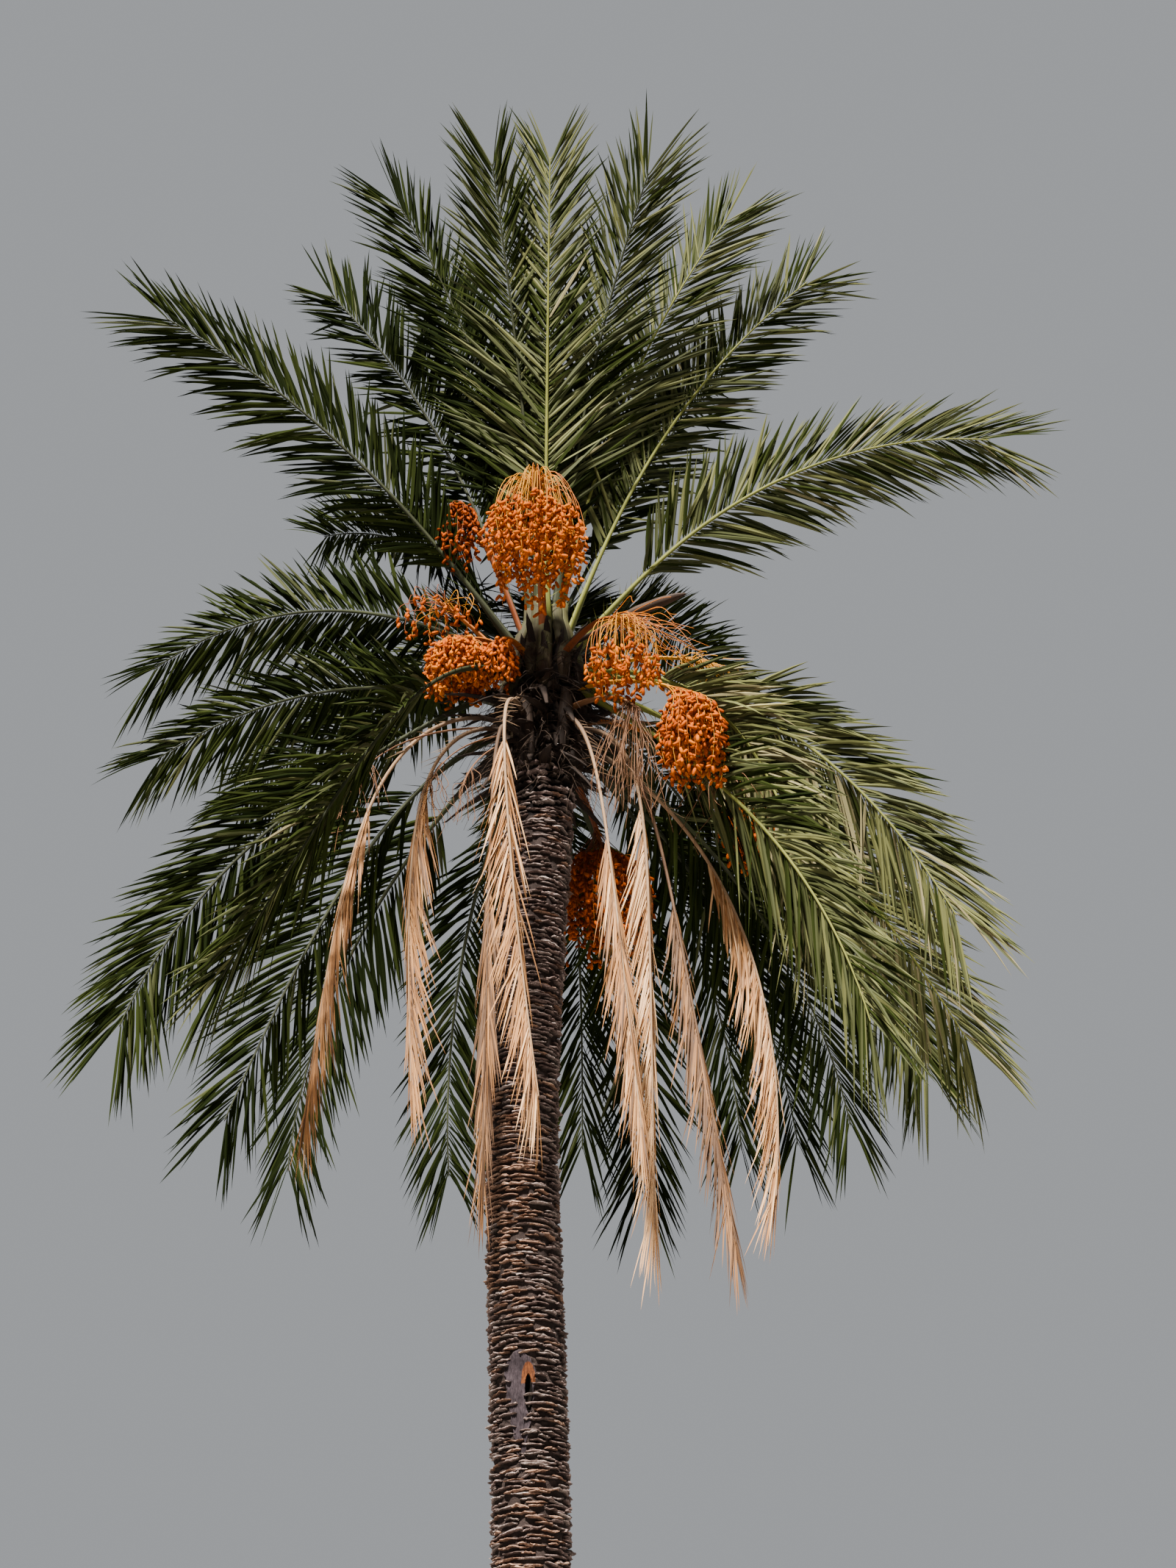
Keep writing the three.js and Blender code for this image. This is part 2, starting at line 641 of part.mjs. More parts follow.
for (const plan of fronds) growLeaflets(plan, limbs);
for (const plan of fronds) {
  const last = plan.rings.length - 1;
  const joint = FROND.stalkSteps + Math.round(FROND.bladeSteps * plan.split);
  const cuts = plan.split ? [[0, joint, ""], [joint, last, "_outer"]] : [[0, last, ""]];
  for (const [from, to, suffix] of cuts) {
    const solid = largest(frondBody(plan, from, to).subtract(headCut));
    addMesh(crown, plan.name + suffix, solid, plan.kind, plan.line.start);
  }
}
for (const plan of bunches) {
  addMesh(crown, plan.name, largest(bunchBody(plan).subtract(headCut)), BUNCHES, plan.line.start);
}
addMesh(crown, "dry_sheath", largest(sheath.solid.subtract(headCut)), SHEATH, sheath.line.start);

export default palm;
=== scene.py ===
# The looks of a date palm tree: bark, fronds, fruit bunches and a dry sheath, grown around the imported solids.
# Metres and degrees, and the colours of surfaces and sky in thousandths. Each limb follows the law of its
# solid, and its leaflets or strands grow finer.
import math

import bpy
import numpy as np
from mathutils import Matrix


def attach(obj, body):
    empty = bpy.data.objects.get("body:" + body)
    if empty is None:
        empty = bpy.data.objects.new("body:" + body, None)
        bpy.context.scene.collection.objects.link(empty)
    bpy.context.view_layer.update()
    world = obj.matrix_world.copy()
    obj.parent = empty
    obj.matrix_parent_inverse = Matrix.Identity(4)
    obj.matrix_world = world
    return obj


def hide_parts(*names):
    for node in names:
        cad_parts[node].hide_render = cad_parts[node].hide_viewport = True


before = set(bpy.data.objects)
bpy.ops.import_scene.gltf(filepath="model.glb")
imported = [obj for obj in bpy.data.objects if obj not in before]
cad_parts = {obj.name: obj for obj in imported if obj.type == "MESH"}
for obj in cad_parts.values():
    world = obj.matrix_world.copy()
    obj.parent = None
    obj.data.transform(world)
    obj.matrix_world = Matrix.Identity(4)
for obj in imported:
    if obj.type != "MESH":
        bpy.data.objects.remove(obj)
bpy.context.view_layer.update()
chance = np.random.default_rng(41)
uniform, normal = chance.uniform, chance.normal
down = np.array([0.0, 0.0, -1.0])
goldenAngle, goldenShare = 137.508, 0.618


def unit(vectors):  # each vector divided by its own length
    return vectors / np.maximum(np.linalg.norm(vectors, axis=-1, keepdims=True), 1e-9)


def direction(elevation, azimuth):  # the unit vector of two angles in degrees
    rise, turn = np.radians(elevation), np.radians(azimuth)
    return np.stack([np.cos(rise) * np.cos(turn), np.cos(rise) * np.sin(turn), np.sin(rise)], axis=-1)


def spin(vectors, axes, degrees):  # each vector turned about its unit axis: the usual cosine and sine parts
    cosine, sine = np.cos(np.radians(degrees))[..., None], np.sin(np.radians(degrees))[..., None]
    lengthwise = axes * np.sum(axes * vectors, axis=-1, keepdims=True)
    return vectors * cosine + np.cross(axes, vectors) * sine + lengthwise * (1 - cosine)


def smooth(low, high, value):  # 0 below low, 1 above high, an S between
    share = np.clip((value - low) / (high - low), 0, 1)
    return share * share * (3 - 2 * share)


def bell(value, middle, width):  # 1 in the middle, and falling away from it by the square of the distance
    return np.exp(-(((value - middle) / width) ** 2))


def addObject(name, data):
    thing = bpy.data.objects.new(name, data)
    bpy.context.scene.collection.objects.link(thing)
    return thing


# Camera and light
view = {
    "place": (0.267, -11.5, 1.6),
    "pitch": 32.0,  # above the horizon
    "camera": {"lens": 55.7, "sensor_fit": "VERTICAL", "sensor_height": 36.0},
    "sun": (47.0, 256.0),  # elevation, azimuth
    "sunPower": 25.0,
    "sunWidth": 6.0,
    "sunColor": (1.0, 0.955, 0.88),
    "sky": (860, 890, 930),
    "skyPower": 0.42,
    "floor": (330, 315, 295),
    "floorSize": 26.0,
    "floorDrop": 0.002,
}


def setStage():
    scene = bpy.context.scene
    camera = bpy.data.cameras.new("camera")
    for label, value in view["camera"].items():
        setattr(camera, label, value)
    scene.camera = addObject("camera", camera)
    scene.camera.location = view["place"]
    scene.camera.rotation_euler = (math.radians(90 + view["pitch"]), 0, 0)

    sun = bpy.data.lights.new("key", "SUN")
    sun.energy = view["sunPower"]
    sun.angle = math.radians(view["sunWidth"])
    sun.color = view["sunColor"]
    elevation, azimuth = view["sun"]
    addObject("key", sun).rotation_euler = (math.radians(90 - elevation), 0, math.radians(azimuth + 90))

    scene.world = bpy.data.worlds.new("studio")
    scene.world.use_nodes = True
    tree = scene.world.node_tree
    feed(tree, tree.nodes["Background"], {"Color": view["sky"], "Strength": view["skyPower"]})

    half = view["floorSize"] / 2
    mesh = bpy.data.meshes.new("floor")
    corners = [(-half, -half, 0), (half, -half, 0), (half, half, 0), (-half, half, 0)]
    mesh.from_pydata(corners, [], [(0, 1, 2, 3)])
    floor = addObject("floor", mesh)
    floor.location.z = -view["floorDrop"]
    finish, tree = newMaterial("studio floor")
    feed(tree, tree.nodes["Principled BSDF"], {"Base Color": view["floor"], "Roughness": 0.9})
    mesh.materials.append(finish)


# Node groups and materials
def feed(tree, node, values):  # links each socket to the input of that name, and sets any other value there
    for label, value in values.items():
        entry = node.inputs[label]
        if isinstance(value, bpy.types.NodeSocket):
            tree.links.new(value, entry)
        else:
            color = entry.type == "RGBA"
            entry.default_value = (*(part / 1000 for part in value), 1) if color else value
    return node


def newNode(tree, kind, values, **settings):
    node = tree.nodes.new("ShaderNode" + kind)
    for label, setting in settings.items():
        setattr(node, label, setting)
    return feed(tree, node, values)


def newMaterial(name):
    material = bpy.data.materials.new(name)
    material.use_nodes = True
    return material, material.node_tree


def newGroup(name, inputs, outputs):
    group = bpy.data.node_groups.new(name, "ShaderNodeTree")
    for way, sockets in (("INPUT", inputs), ("OUTPUT", outputs)):
        for label, kind in sockets.items():
            group.interface.new_socket(label, in_out=way, socket_type="NodeSocket" + kind)
    return group, group.nodes.new("NodeGroupInput").outputs, group.nodes.new("NodeGroupOutput")


def noise(tree, vector, scale, detail, roughness=0.6):
    values = {"Vector": vector, "Scale": scale, "Detail": detail, "Roughness": roughness}
    return newNode(tree, "TexNoise", values).outputs["Fac"]


def ramp(tree, value, low, high, top=1.0):  # spreads low to high over 0 to top
    values = {"Value": value, "From Min": low, "From Max": high, "To Max": top}
    return newNode(tree, "MapRange", values).outputs["Result"]


def blend(tree, share, first, second):  # a mix of two colours
    return newNode(tree, "Mix", {0: share, 6: first, 7: second}, data_type="RGBA").outputs[2]


def makeWeathering():
    # Two tones mixed by soft noise, so that a surface is paler in patches.
    inputs = {"Vector": "Vector", "Tone": "Color", "Faded": "Color", "Scale": "Float"}
    group, given, made = newGroup("weathering", inputs, {"Color": "Color"})
    mask = ramp(group, noise(group, given["Vector"], given["Scale"], 4.0), 0.38, 0.64)
    feed(group, made, {"Color": blend(group, mask, given["Tone"], given["Faded"])})
    return group


def makeStreaks():
    # Fine lines along a surface, from noise that is stretched lengthwise.
    inputs = {"Vector": "Vector", "Stretch": "Vector", "Amount": "Float"}
    group, given, made = newGroup("streaks", inputs, {"Mask": "Float"})
    stretched = newNode(group, "VectorMath", {0: given["Vector"], 1: given["Stretch"]}, operation="MULTIPLY")
    lines = noise(group, stretched.outputs[0], 1.0, 2.0)
    feed(group, made, {"Mask": ramp(group, lines, 0.35, 0.65, given["Amount"])})
    return group


def makeCrust():
    # Cracked, flaky relief: cells with dark joints over rough noise.
    inputs = {"Vector": "Vector", "Scale": "Float"}
    group, given, made = newGroup("crust", inputs, {"Height": "Float", "Joint": "Float"})
    spread = {label: given[label] for label in inputs}
    cells = newNode(group, "TexVoronoi", spread, feature="DISTANCE_TO_EDGE")
    joint = ramp(group, cells.outputs["Distance"], 0.0, 0.16)
    rough = noise(group, given["Vector"], given["Scale"], 8.0, 0.7)
    height = newNode(group, "Math", {0: joint, 1: rough}, operation="MULTIPLY").outputs[0]
    feed(group, made, {"Height": height, "Joint": joint})
    return group


weathering, streaks, crust = makeWeathering(), makeStreaks(), makeCrust()


def coordinates(tree, kind="Object"):
    return newNode(tree, "TexCoord", {}).outputs[kind]


def lengthwise(tree):  # how far along its own map a place lies
    return newNode(tree, "SeparateXYZ", {0: coordinates(tree, "UV")}).outputs["X"]


def patched(tree, tone, faded, scale):
    values = {"Vector": coordinates(tree), "Tone": tone, "Faded": faded, "Scale": scale}
    return newNode(tree, "Group", values, node_tree=weathering).outputs["Color"]


def streaked(tree, stretch, amount):
    values = {"Vector": coordinates(tree, "UV"), "Stretch": stretch, "Amount": amount}
    return newNode(tree, "Group", values, node_tree=streaks).outputs["Mask"]


def crusted(tree, scale):
    return newNode(tree, "Group", {"Vector": coordinates(tree), "Scale": scale}, node_tree=crust).outputs


def dress(material, color, roughness, shine, height, strength, depth=0.002):
    # Colour, roughness and shine, with the relief of a height.
    tree = material.node_tree
    relief = newNode(tree, "Bump", {"Height": height, "Strength": strength, "Distance": depth})
    feed(tree, tree.nodes["Principled BSDF"], {
        "Base Color": color, "Roughness": roughness, "Specular IOR Level": shine,
        "Normal": relief.outputs["Normal"]})
    return material


def fibrous(name, tone, faded, line, roughness=0.6, stretch=(3.0, 30.0, 1.0), scale=2.5, bump=0.25, shine=0.2,
            foot=None):
    # A plant fibre: two tones in patches, darker or paler lines along the piece's own map, and their relief.
    # A foot colour fades out over the first part of the map's length.
    material, tree = newMaterial(name)
    lines = streaked(tree, stretch, 0.7)
    color = blend(tree, lines, patched(tree, tone, faded, scale), line)
    if foot:
        color = blend(tree, ramp(tree, lengthwise(tree), 0.25, 0.95), foot, color)
    return dress(material, color, roughness, shine, lines, bump)


def shadesOf(name, tones, **finish):  # one fibrous material for each named tone
    return [fibrous(f"{name} {label}", tone, faded, line, **finish) for label, tone, faded, line in tones]


# Bodies made of rings
def skin(rings, first, last, length=1.0):
    # Closed bodies, many at once. rings is bodies x rings x points x 3, going round anticlockwise about the
    # line from the first end to the last, and each end is one more point. The map runs along and round.
    bodies, rows, sides, _ = rings.shape
    points = np.concatenate([rings.reshape(bodies, rows * sides, 3), first[:, None], last[:, None]], axis=1)
    ring, side = (grid.ravel() for grid in np.meshgrid(np.arange(rows - 1), np.arange(sides), indexing="ij"))
    a, b = ring * sides + side, ring * sides + (side + 1) % sides
    j, k = np.arange(sides), (np.arange(sides) + 1) % sides
    start, top = np.full(sides, rows * sides), (rows - 1) * sides
    faces = np.concatenate([np.stack(corners, -1) for corners in (
        (a, b, b + sides), (a, b + sides, a + sides), (start, k, j), (start + 1, j + top, k + top))])

    step, turn = 1 / (rows + 1), 1 / sides
    u, v, around, foot = (ring + 1) * step, side * turn, j * turn, np.zeros(sides)
    middle, beyond, end = around + turn / 2, around + turn, foot + 1
    flat = np.concatenate([np.stack([np.stack(corner, -1) for corner in corners], 1) for corners in (
        ((u, v), (u, v + turn), (u + step, v + turn)), ((u, v), (u + step, v + turn), (u + step, v)),
        ((foot, middle), (foot + step, beyond), (foot + step, around)),
        ((end, middle), (end - step, around), (end - step, beyond)))])
    flat = np.tile(flat, (bodies, 1, 1))
    flat[..., 0] *= np.repeat(np.broadcast_to(length, bodies), len(faces))[:, None]
    allFaces = (faces[None] + (np.arange(bodies) * (rows * sides + 2))[:, None, None]).reshape(-1, 3)
    return {"points": points.reshape(-1, 3), "faces": allFaces, "map": flat, "perBody": len(faces),
            "tone": np.zeros(len(allFaces), int)}


def toned(body, tones):  # one material for each body, or one for all
    bodies = len(body["faces"]) // body["perBody"]
    body["tone"] = np.repeat(np.broadcast_to(tones, bodies), body["perBody"])
    return body


def ovals(centre, side, up, wide, high, sides, above=1.0, below=1.0):
    # A ring round each centre: its side by the cosine and its up by the sine, at even steps of the angle.
    # The upper and the lower half may be stretched.
    angle = 2 * np.pi * np.arange(sides) / sides
    cosine, sine = np.cos(angle)[:, None], np.sin(angle)[:, None]
    sine = np.where(sine > 0, above, below) * sine
    wide, high = (np.asarray(half)[..., None, None] for half in (wide, high))
    return centre[..., None, :] + side[..., None, :] * wide * cosine + up[..., None, :] * high * sine


def tubes(lines, radius, taper, lean):
    # Three-sided tubes along many lines at once, pointed at both ends. A leaning direction crossed with each
    # point's tangent gives the two directions across.
    tangent = unit(np.gradient(lines, axis=-2))
    across = unit(np.cross(lean, tangent))
    radii = np.broadcast_to(radius * np.linspace(*taper, lines.shape[1]), lines.shape[:2])
    rings = ovals(lines, across, np.cross(tangent, across), radii, radii, 3)
    first = lines[:, 0] - tangent[:, 0] * radii[:, :1]
    return skin(rings, first, lines[:, -1] + tangent[:, -1] * radii[:, -1:])


def addPiece(name, bodies, materials, replaced=(), rounded=True):
    def joined(key):
        return np.concatenate([body[key] for body in bodies])

    points = joined("points").astype(np.float32)
    starts = np.cumsum([0] + [len(body["points"]) for body in bodies[:-1]])
    faces = np.concatenate([body["faces"] + start for body, start in zip(bodies, starts)]).astype(np.int32)
    mesh = bpy.data.meshes.new(name)
    mesh.vertices.add(len(points))
    mesh.loops.add(faces.size)
    mesh.polygons.add(len(faces))
    for material in materials:
        mesh.materials.append(material)
    for items, label, values in (
            (mesh.vertices, "co", points), (mesh.loops, "vertex_index", faces),
            (mesh.polygons, "loop_start", np.arange(0, faces.size, 3, dtype=np.int32)),
            (mesh.polygons, "material_index", joined("tone").astype(np.int32)),
            (mesh.polygons, "use_smooth", np.full(len(faces), rounded))):
        items.foreach_set(label, values.ravel())
    mesh.uv_layers.new(name="map").data.foreach_set("uv", joined("map").astype(np.float32).ravel())
    # The ledges' painted shade and highlight, kept on the mesh for their material.
    if "rimLight" in bodies[0]:
        rimLights = mesh.attributes.new("rimLight", "FLOAT", "POINT")
        rimLights.data.foreach_set("value", joined("rimLight").astype(np.float32))
    mesh.update(calc_edges=True)
    piece = addObject(name, mesh)
    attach(piece, "root")
    if replaced:
        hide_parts(*replaced)
    print(f"{name}: {len(faces)} triangles, {len(bodies)} groups")


# Trunk: the same axis, radius and flare as its solid
trunk = {
    "shaftRadius": 0.2, "taper": 0.01, "flare": 0.095, "flareHeight": 0.28, "flareLobes": 5,
    "lobeDepth": 0.18, "lean": 0.02, "bow": 0.085, "bowHeight": 6.8, "bowReach": 1.5, "headFoot": 8.6,
    "headRadius": 0.238, "headMiddle": 9.25, "tip": 10.05, "budFullness": 1.5, "budPoint": 0.8,
}


def trunkAxis(height):  # a straight lean to the right, less a bell-shaped bow
    bow = trunk["bow"] * bell(height, trunk["bowHeight"], trunk["bowReach"])
    return trunk["lean"] * height / trunk["headMiddle"] - bow


def trunkRadius(height):  # a taper, an S out to the head, then a bud that closes by a power curve
    height = np.asarray(height, float)
    foot, middle, widest = trunk["headFoot"], trunk["headMiddle"], trunk["headRadius"]
    shaft = trunk["shaftRadius"] - trunk["taper"] * height / foot
    swell = shaft + (widest - shaft) * smooth(foot, middle, height)
    share = np.clip((height - middle) / (trunk["tip"] - middle), 0, 1)
    bud = widest * (1 - share ** trunk["budFullness"]) ** trunk["budPoint"]
    return np.where(height > middle, bud, swell)


def trunkFlare(height):  # what the root flare adds to the radius, less and less upwards
    return trunk["flare"] * np.exp(-np.asarray(height) / trunk["flareHeight"])


def trunkPoint(azimuth, height, out):  # a point so far out of the trunk's side
    angle = np.radians(azimuth)
    lobes = 1 + trunk["lobeDepth"] * np.cos(trunk["flareLobes"] * angle)
    radius = trunkRadius(height) + trunkFlare(height) * lobes + out
    x = trunkAxis(height) + radius * np.cos(angle)
    return np.stack([x, radius * np.sin(angle), np.broadcast_to(height, x.shape)], axis=-1)


scar = {"azimuth": 257.0, "height": 5.19, "width": 0.165, "tall": 0.56, "depth": 0.016, "sunk": 0.011,
        "grain": 0.0016}
hole = {"azimuth": 271.0, "height": 5.26, "width": 0.042, "tall": 0.19, "depth": 0.065, "above": 0.05}
bark = {
    "under": 0.025,  # the core lies so far inside the solid's surface
    "heights": 130, "scarHeights": 140, "azimuths": 48, "scarAzimuths": 66,
    "ripple": 0.005,
    "budFrom": 10.0, "budSlim": 0.999,  # the core's last rings are a little slimmer
    # Above this height the core's tone is a near-black painted shade, as under the crown.
    "shadedFrom": 8.5,  # height of the head's dark tone
    "split": 4.9,  # height between the two pieces of ledges
}
ledge = {
    "first": 0.012, "last": 9.3, "pitch": 0.0258, "wide": 0.096, "tall": 0.0165, "out": 0.02,
    "headFrom": 8.45, "headPitch": 0.075, "headWide": 0.105, "headTall": 0.11, "headOut": 0.04,
    "steps": 7, "reach": 0.92,
    "profileOut": (-0.9, 0.6, 1.0, 0.82, -0.6), "profileUp": (0.16, 0.18, 0.4, 0.66, 0.98),
    # The rim value of each profile point is painted light: 0 is painted shade deep in the gap, 1 a painted
    # highlight on the outer rim.
    "rimLight": (0.0, 0.35, 0.85, 1.0, 0.15),  # how pale each point of the profile is
}


def acrossPatch(patch, azimuth, height):  # distance from its middle line, as a share of half its width
    away = (np.asarray(azimuth) - patch["azimuth"] + 180) % 360 - 180
    return np.radians(away) * trunkRadius(height) / (patch["width"] / 2)


def inPatch(patch, azimuth, height):  # under 1 inside an upright ellipse on the trunk's side
    up = (height - patch["height"]) / (patch["tall"] / 2)
    return acrossPatch(patch, azimuth, height) ** 2 + up ** 2


def inScar(azimuth, height):  # the same inside a wedge: widest near its rounded top, a point at the foot
    up = (height - scar["height"]) / (scar["tall"] / 2)
    ragged = 1 + 0.07 * np.sin(47 * height) + 0.05 * np.sin(101 * height)
    wide = np.clip((1 + up) / 1.5, 0.02, 1) ** 0.75 * ragged
    beyond = np.clip((up - 0.5) / 0.5, 0, None) ** 2 + np.clip(-1 - up, 0, None) * 9
    return (acrossPatch(scar, azimuth, height) / wide) ** 2 + beyond


# Each bark tone: near black, for painted shade in the gaps between ledges and for the crust's dark cracks; the
# bark; its paler weathered patches; and the painted highlight of the rims.
barkTones = [
    ("bark", (10, 7, 6), (92, 60, 52), (180, 126, 112), (400, 300, 270)),
    ("bark pale", (10, 8, 6), (145, 106, 94), (250, 190, 170), (530, 430, 390)),
    ("bark warm", (12, 7, 6), (150, 80, 52), (250, 146, 100), (460, 300, 210)),
    # The head's tone, near black throughout: painted shade under the crown.
    ("bark head", (3, 2, 2), (12, 8, 6), (26, 16, 11), (70, 46, 32)),
]
woodTones = [
    ("worn wood", (19, 14, 16), (43, 32, 36), (5, 3, 4), 0.9),
    ("inner wood", (60, 17, 5), (125, 40, 12), (14, 4, 2), 0.8),
    # The hole's inside: near black, painted shade.
    ("hollow", (4, 3, 2), (10, 6, 4), (2, 1, 1), 0.9),
]
barkTone, paleTone, sunwardTone, headShadeTone, woodTone, heartTone, holeShadeTone = range(7)  # places in the two lists


def barkMaterial(name, deep, tone, pale, rimHighlight):
    # Weathered, and dark in the cracks of its crust. Low on a ledge, in the gap between ledges, it takes a
    # near-black painted shade, and along the ledge's outer rim a paler painted highlight.
    material, tree = newMaterial(name)
    rimLight = newNode(tree, "Attribute", {}, attribute_name="rimLight").outputs["Fac"]
    low = blend(tree, ramp(tree, rimLight, -0.05, 0.4), deep, patched(tree, tone, pale, 22.0))
    color = blend(tree, ramp(tree, rimLight, 0.55, 1.0, 0.9), low, rimHighlight)
    relief = crusted(tree, 85.0)
    color = blend(tree, ramp(tree, relief["Joint"], -0.35, 0.7), deep, color)
    return dress(material, color, 0.9, 0.1, relief["Height"], 0.6, 0.003)


def growCore():
    # The trunk under its ledges: rings whose points lie closer round the worn patch, which is hollowed by the
    # depth of an ellipsoid, as the hole is. The rest is rippled by sines of height and azimuth.
    reach = trunk["tip"] - 0.01
    near = scar["height"] + scar["tall"] * np.array([-0.62, 0.62])
    levels = [np.linspace(0, reach, bark["heights"]), np.linspace(*near, bark["scarHeights"])]
    heights = np.sort(np.concatenate(levels))
    span = np.array([scar["azimuth"] - 30, hole["azimuth"] + 14])
    closer = np.linspace(*span, bark["scarAzimuths"] + 2)[1:-1]
    azimuths = np.sort(np.concatenate([np.linspace(span[1] - 360, span[0], bark["azimuths"]), closer]))
    height, azimuth = np.meshgrid(heights, azimuths, indexing="ij")
    turn = np.radians(azimuth)
    wave = np.sin(9 * turn + 31 * height) * np.sin(170 * height + 5 * turn)
    wave = wave + 0.6 * np.sin(83 * height - 14 * turn)
    grain = np.sin(azimuth * 2.3 + 3 * np.sin(5 * height))
    grain = grain + 0.7 * np.sin(azimuth * 5.1 + 2 * np.sin(9 * height))
    worn, pit = inScar(azimuth, height), inPatch(hole, azimuth, height)
    edge = smooth(1.2, 0.9, worn)
    hollowed = scar["sunk"] + scar["depth"] * np.sqrt(np.clip(1 - worn, 0, 1)) - scar["grain"] * grain
    sunk = bark["ripple"] * wave * smooth(0, 0.05, height) - bark["under"]
    sunk = sunk * (1 - edge) - edge * hollowed - hole["depth"] * np.sqrt(np.clip(1 - pit, 0, 1))
    rings = trunkPoint(azimuth, height, sunk)
    rings[heights > bark["budFrom"], :, :2] *= bark["budSlim"]
    body = skin(rings[None], np.zeros((1, 3)), rings[-1:].mean(1), reach)

    middle = body["points"][body["faces"]].mean(1)
    up = middle[:, 2]
    turned = np.degrees(np.arctan2(middle[:, 1], middle[:, 0] - trunkAxis(up)))
    worn, pit = inScar(turned, up), inPatch(hole, turned, up)
    tear = {**hole, "width": hole["width"] * 1.9, "tall": hole["tall"] * 1.1}
    torn = inPatch(tear, turned, up - hole["above"])
    # Above that height the core is in a near-black painted shade under the crown.
    tone = np.where(up > bark["shadedFrom"], headShadeTone, barkTone)
    tone = np.where(worn < 1.05, woodTone, tone)
    tone = np.where((torn < 1) & (worn < 1.3) & (up > hole["height"] + hole["above"]), heartTone, tone)
    # The inside of the hole is a near-black painted shade.
    body["tone"] = np.where(pit < 1, holeShadeTone, tone)
    return body


def growLedges():
    # Stubs of old leaf bases in rows, each a thin ledge: a profile carried across in steps whose heights
    # wander, thinner towards both ends. Up the head they grow taller and further apart.
    def towardsHead(name, grow):
        return ledge[name] + (ledge["head" + name.title()] - ledge[name]) * grow

    def grownAt(height):
        return smooth(ledge["headFrom"], ledge["last"], height)

    heights = [ledge["first"]]
    while heights[-1] < ledge["last"]:
        heights.append(heights[-1] + towardsHead("pitch", grownAt(heights[-1])))
    rows = []
    for index, level in enumerate(heights):
        wide = towardsHead("wide", grownAt(level))
        around = 2 * math.pi * (trunkRadius(level) + trunkFlare(level))
        count = max(6, round(float(around / wide)))
        azimuth = 360 * (np.arange(count) + 0.5 * (index % 2)) / count + uniform(-1, 1, count) * 150 / count
        rows.append(np.stack([azimuth, np.full(count, level), np.full(count, wide)], -1))
    azimuth, height, wide = np.concatenate(rows).T
    grow = grownAt(height)
    turn = np.radians(azimuth)
    tilt = 0.014 * np.sin(turn * 2 + height * 5) + 0.008 * np.sin(turn * 5 - height * 23)
    height = np.maximum(height + normal(0, 0.0058, len(height)) + tilt, 0.004)
    clear = inScar(azimuth, height - 0.02) > 1.1
    azimuth, turn, height, wide, grow = (values[clear] for values in (azimuth, turn, height, wide, grow))
    count = len(height)
    wide = wide * uniform(0.7, 1.7, count) / 2
    tall = towardsHead("tall", grow) * uniform(0.6, 1.3, count)
    out = towardsHead("out", grow) * uniform(0.55, 1.15, count)
    out = np.where(uniform(size=count) < 0.05, out * 1.5, out)

    profileOut, profileUp = np.array(ledge["profileOut"]), np.array(ledge["profileUp"])
    steps = np.linspace(-ledge["reach"], ledge["reach"], ledge["steps"])
    line, grid = (count, len(steps), 1), (count, len(steps), len(profileUp))
    fall = (1 - 0.5 * np.abs(steps) ** 3)[None, :, None]
    wander = np.cumsum(normal(0, 0.17, line), axis=1)
    wander = wander - wander.mean(1, keepdims=True)
    level = (profileUp - 0.5) * fall + normal(0, 0.1, grid) + wander
    away = out[:, None, None] * (profileOut * fall + normal(0, 0.12, grid)) - bark["under"] * 0.8
    away = away + (out * 0.35)[:, None, None] * normal(0, 0.5, line)
    across = wide[:, None, None] * (steps[None, :, None] + normal(0, 0.04, grid))
    radius = trunkRadius(height) + trunkFlare(height)
    turned = azimuth[:, None, None] + np.degrees(across / radius[:, None, None])
    raised = np.maximum(height[:, None, None] + tall[:, None, None] * level, 0.0)
    rings = trunkPoint(turned, raised, away)
    half, middle, sunk = np.degrees(wide / radius), height + 0.1 * tall, -bark["under"] - 0.004
    first, last = (trunkPoint(azimuth + end * half, middle, sunk) for end in (-1, 1))

    # Each ledge's painted shade and highlight varies at random from ledge to ledge and step to step.
    rimLight = np.tile(ledge["rimLight"], (count, len(steps), 1)) * uniform(0.3, 1.0, (count, 1, 1))
    rimLight = rimLight * uniform(0.65, 1.0, line)
    rimLight = np.concatenate([rimLight.reshape(count, -1), np.zeros((count, 2))], axis=1)
    # On the sides facing the sun, at two heights, ledges take the warm, paler tone: painted sunlight.
    sunward = bell(height, 6.35, 0.75) * smooth(-0.2, 0.7, np.cos(turn - math.radians(225)))
    sunward = sunward + 0.65 * bell(height, 4.5, 0.5) * smooth(0.2, 0.9, np.cos(turn - math.radians(268)))
    tone = np.where(uniform(size=count) < 0.3, paleTone, barkTone)
    tone = np.where(uniform(size=count) < sunward * 0.85 + 0.05, sunwardTone, tone)
    # Ledges up the head take the head's near-black painted shade.
    tone = np.where(grow > uniform(0.05, 0.5, count), headShadeTone, tone)
    for chosen in (height < bark["split"], height >= bark["split"]):
        body = toned(skin(rings[chosen], first[chosen], last[chosen]), tone[chosen])
        yield {**body, "rimLight": rimLight[chosen].ravel()}


def makeTrunk():
    grain = {"stretch": (5.0, 36.0, 1.0), "scale": 16.0, "bump": 0.9, "shine": 0.1}
    materials = [barkMaterial(*tones) for tones in barkTones]
    materials += [fibrous(*tones, **grain) for tones in woodTones]
    addPiece("trunk_core", [growCore()], materials, ["trunk"])
    for name, body in zip(("bark_scales_lower", "bark_scales_upper"), growLedges()):
        addPiece(name, [body], materials, ["trunk"], rounded=False)


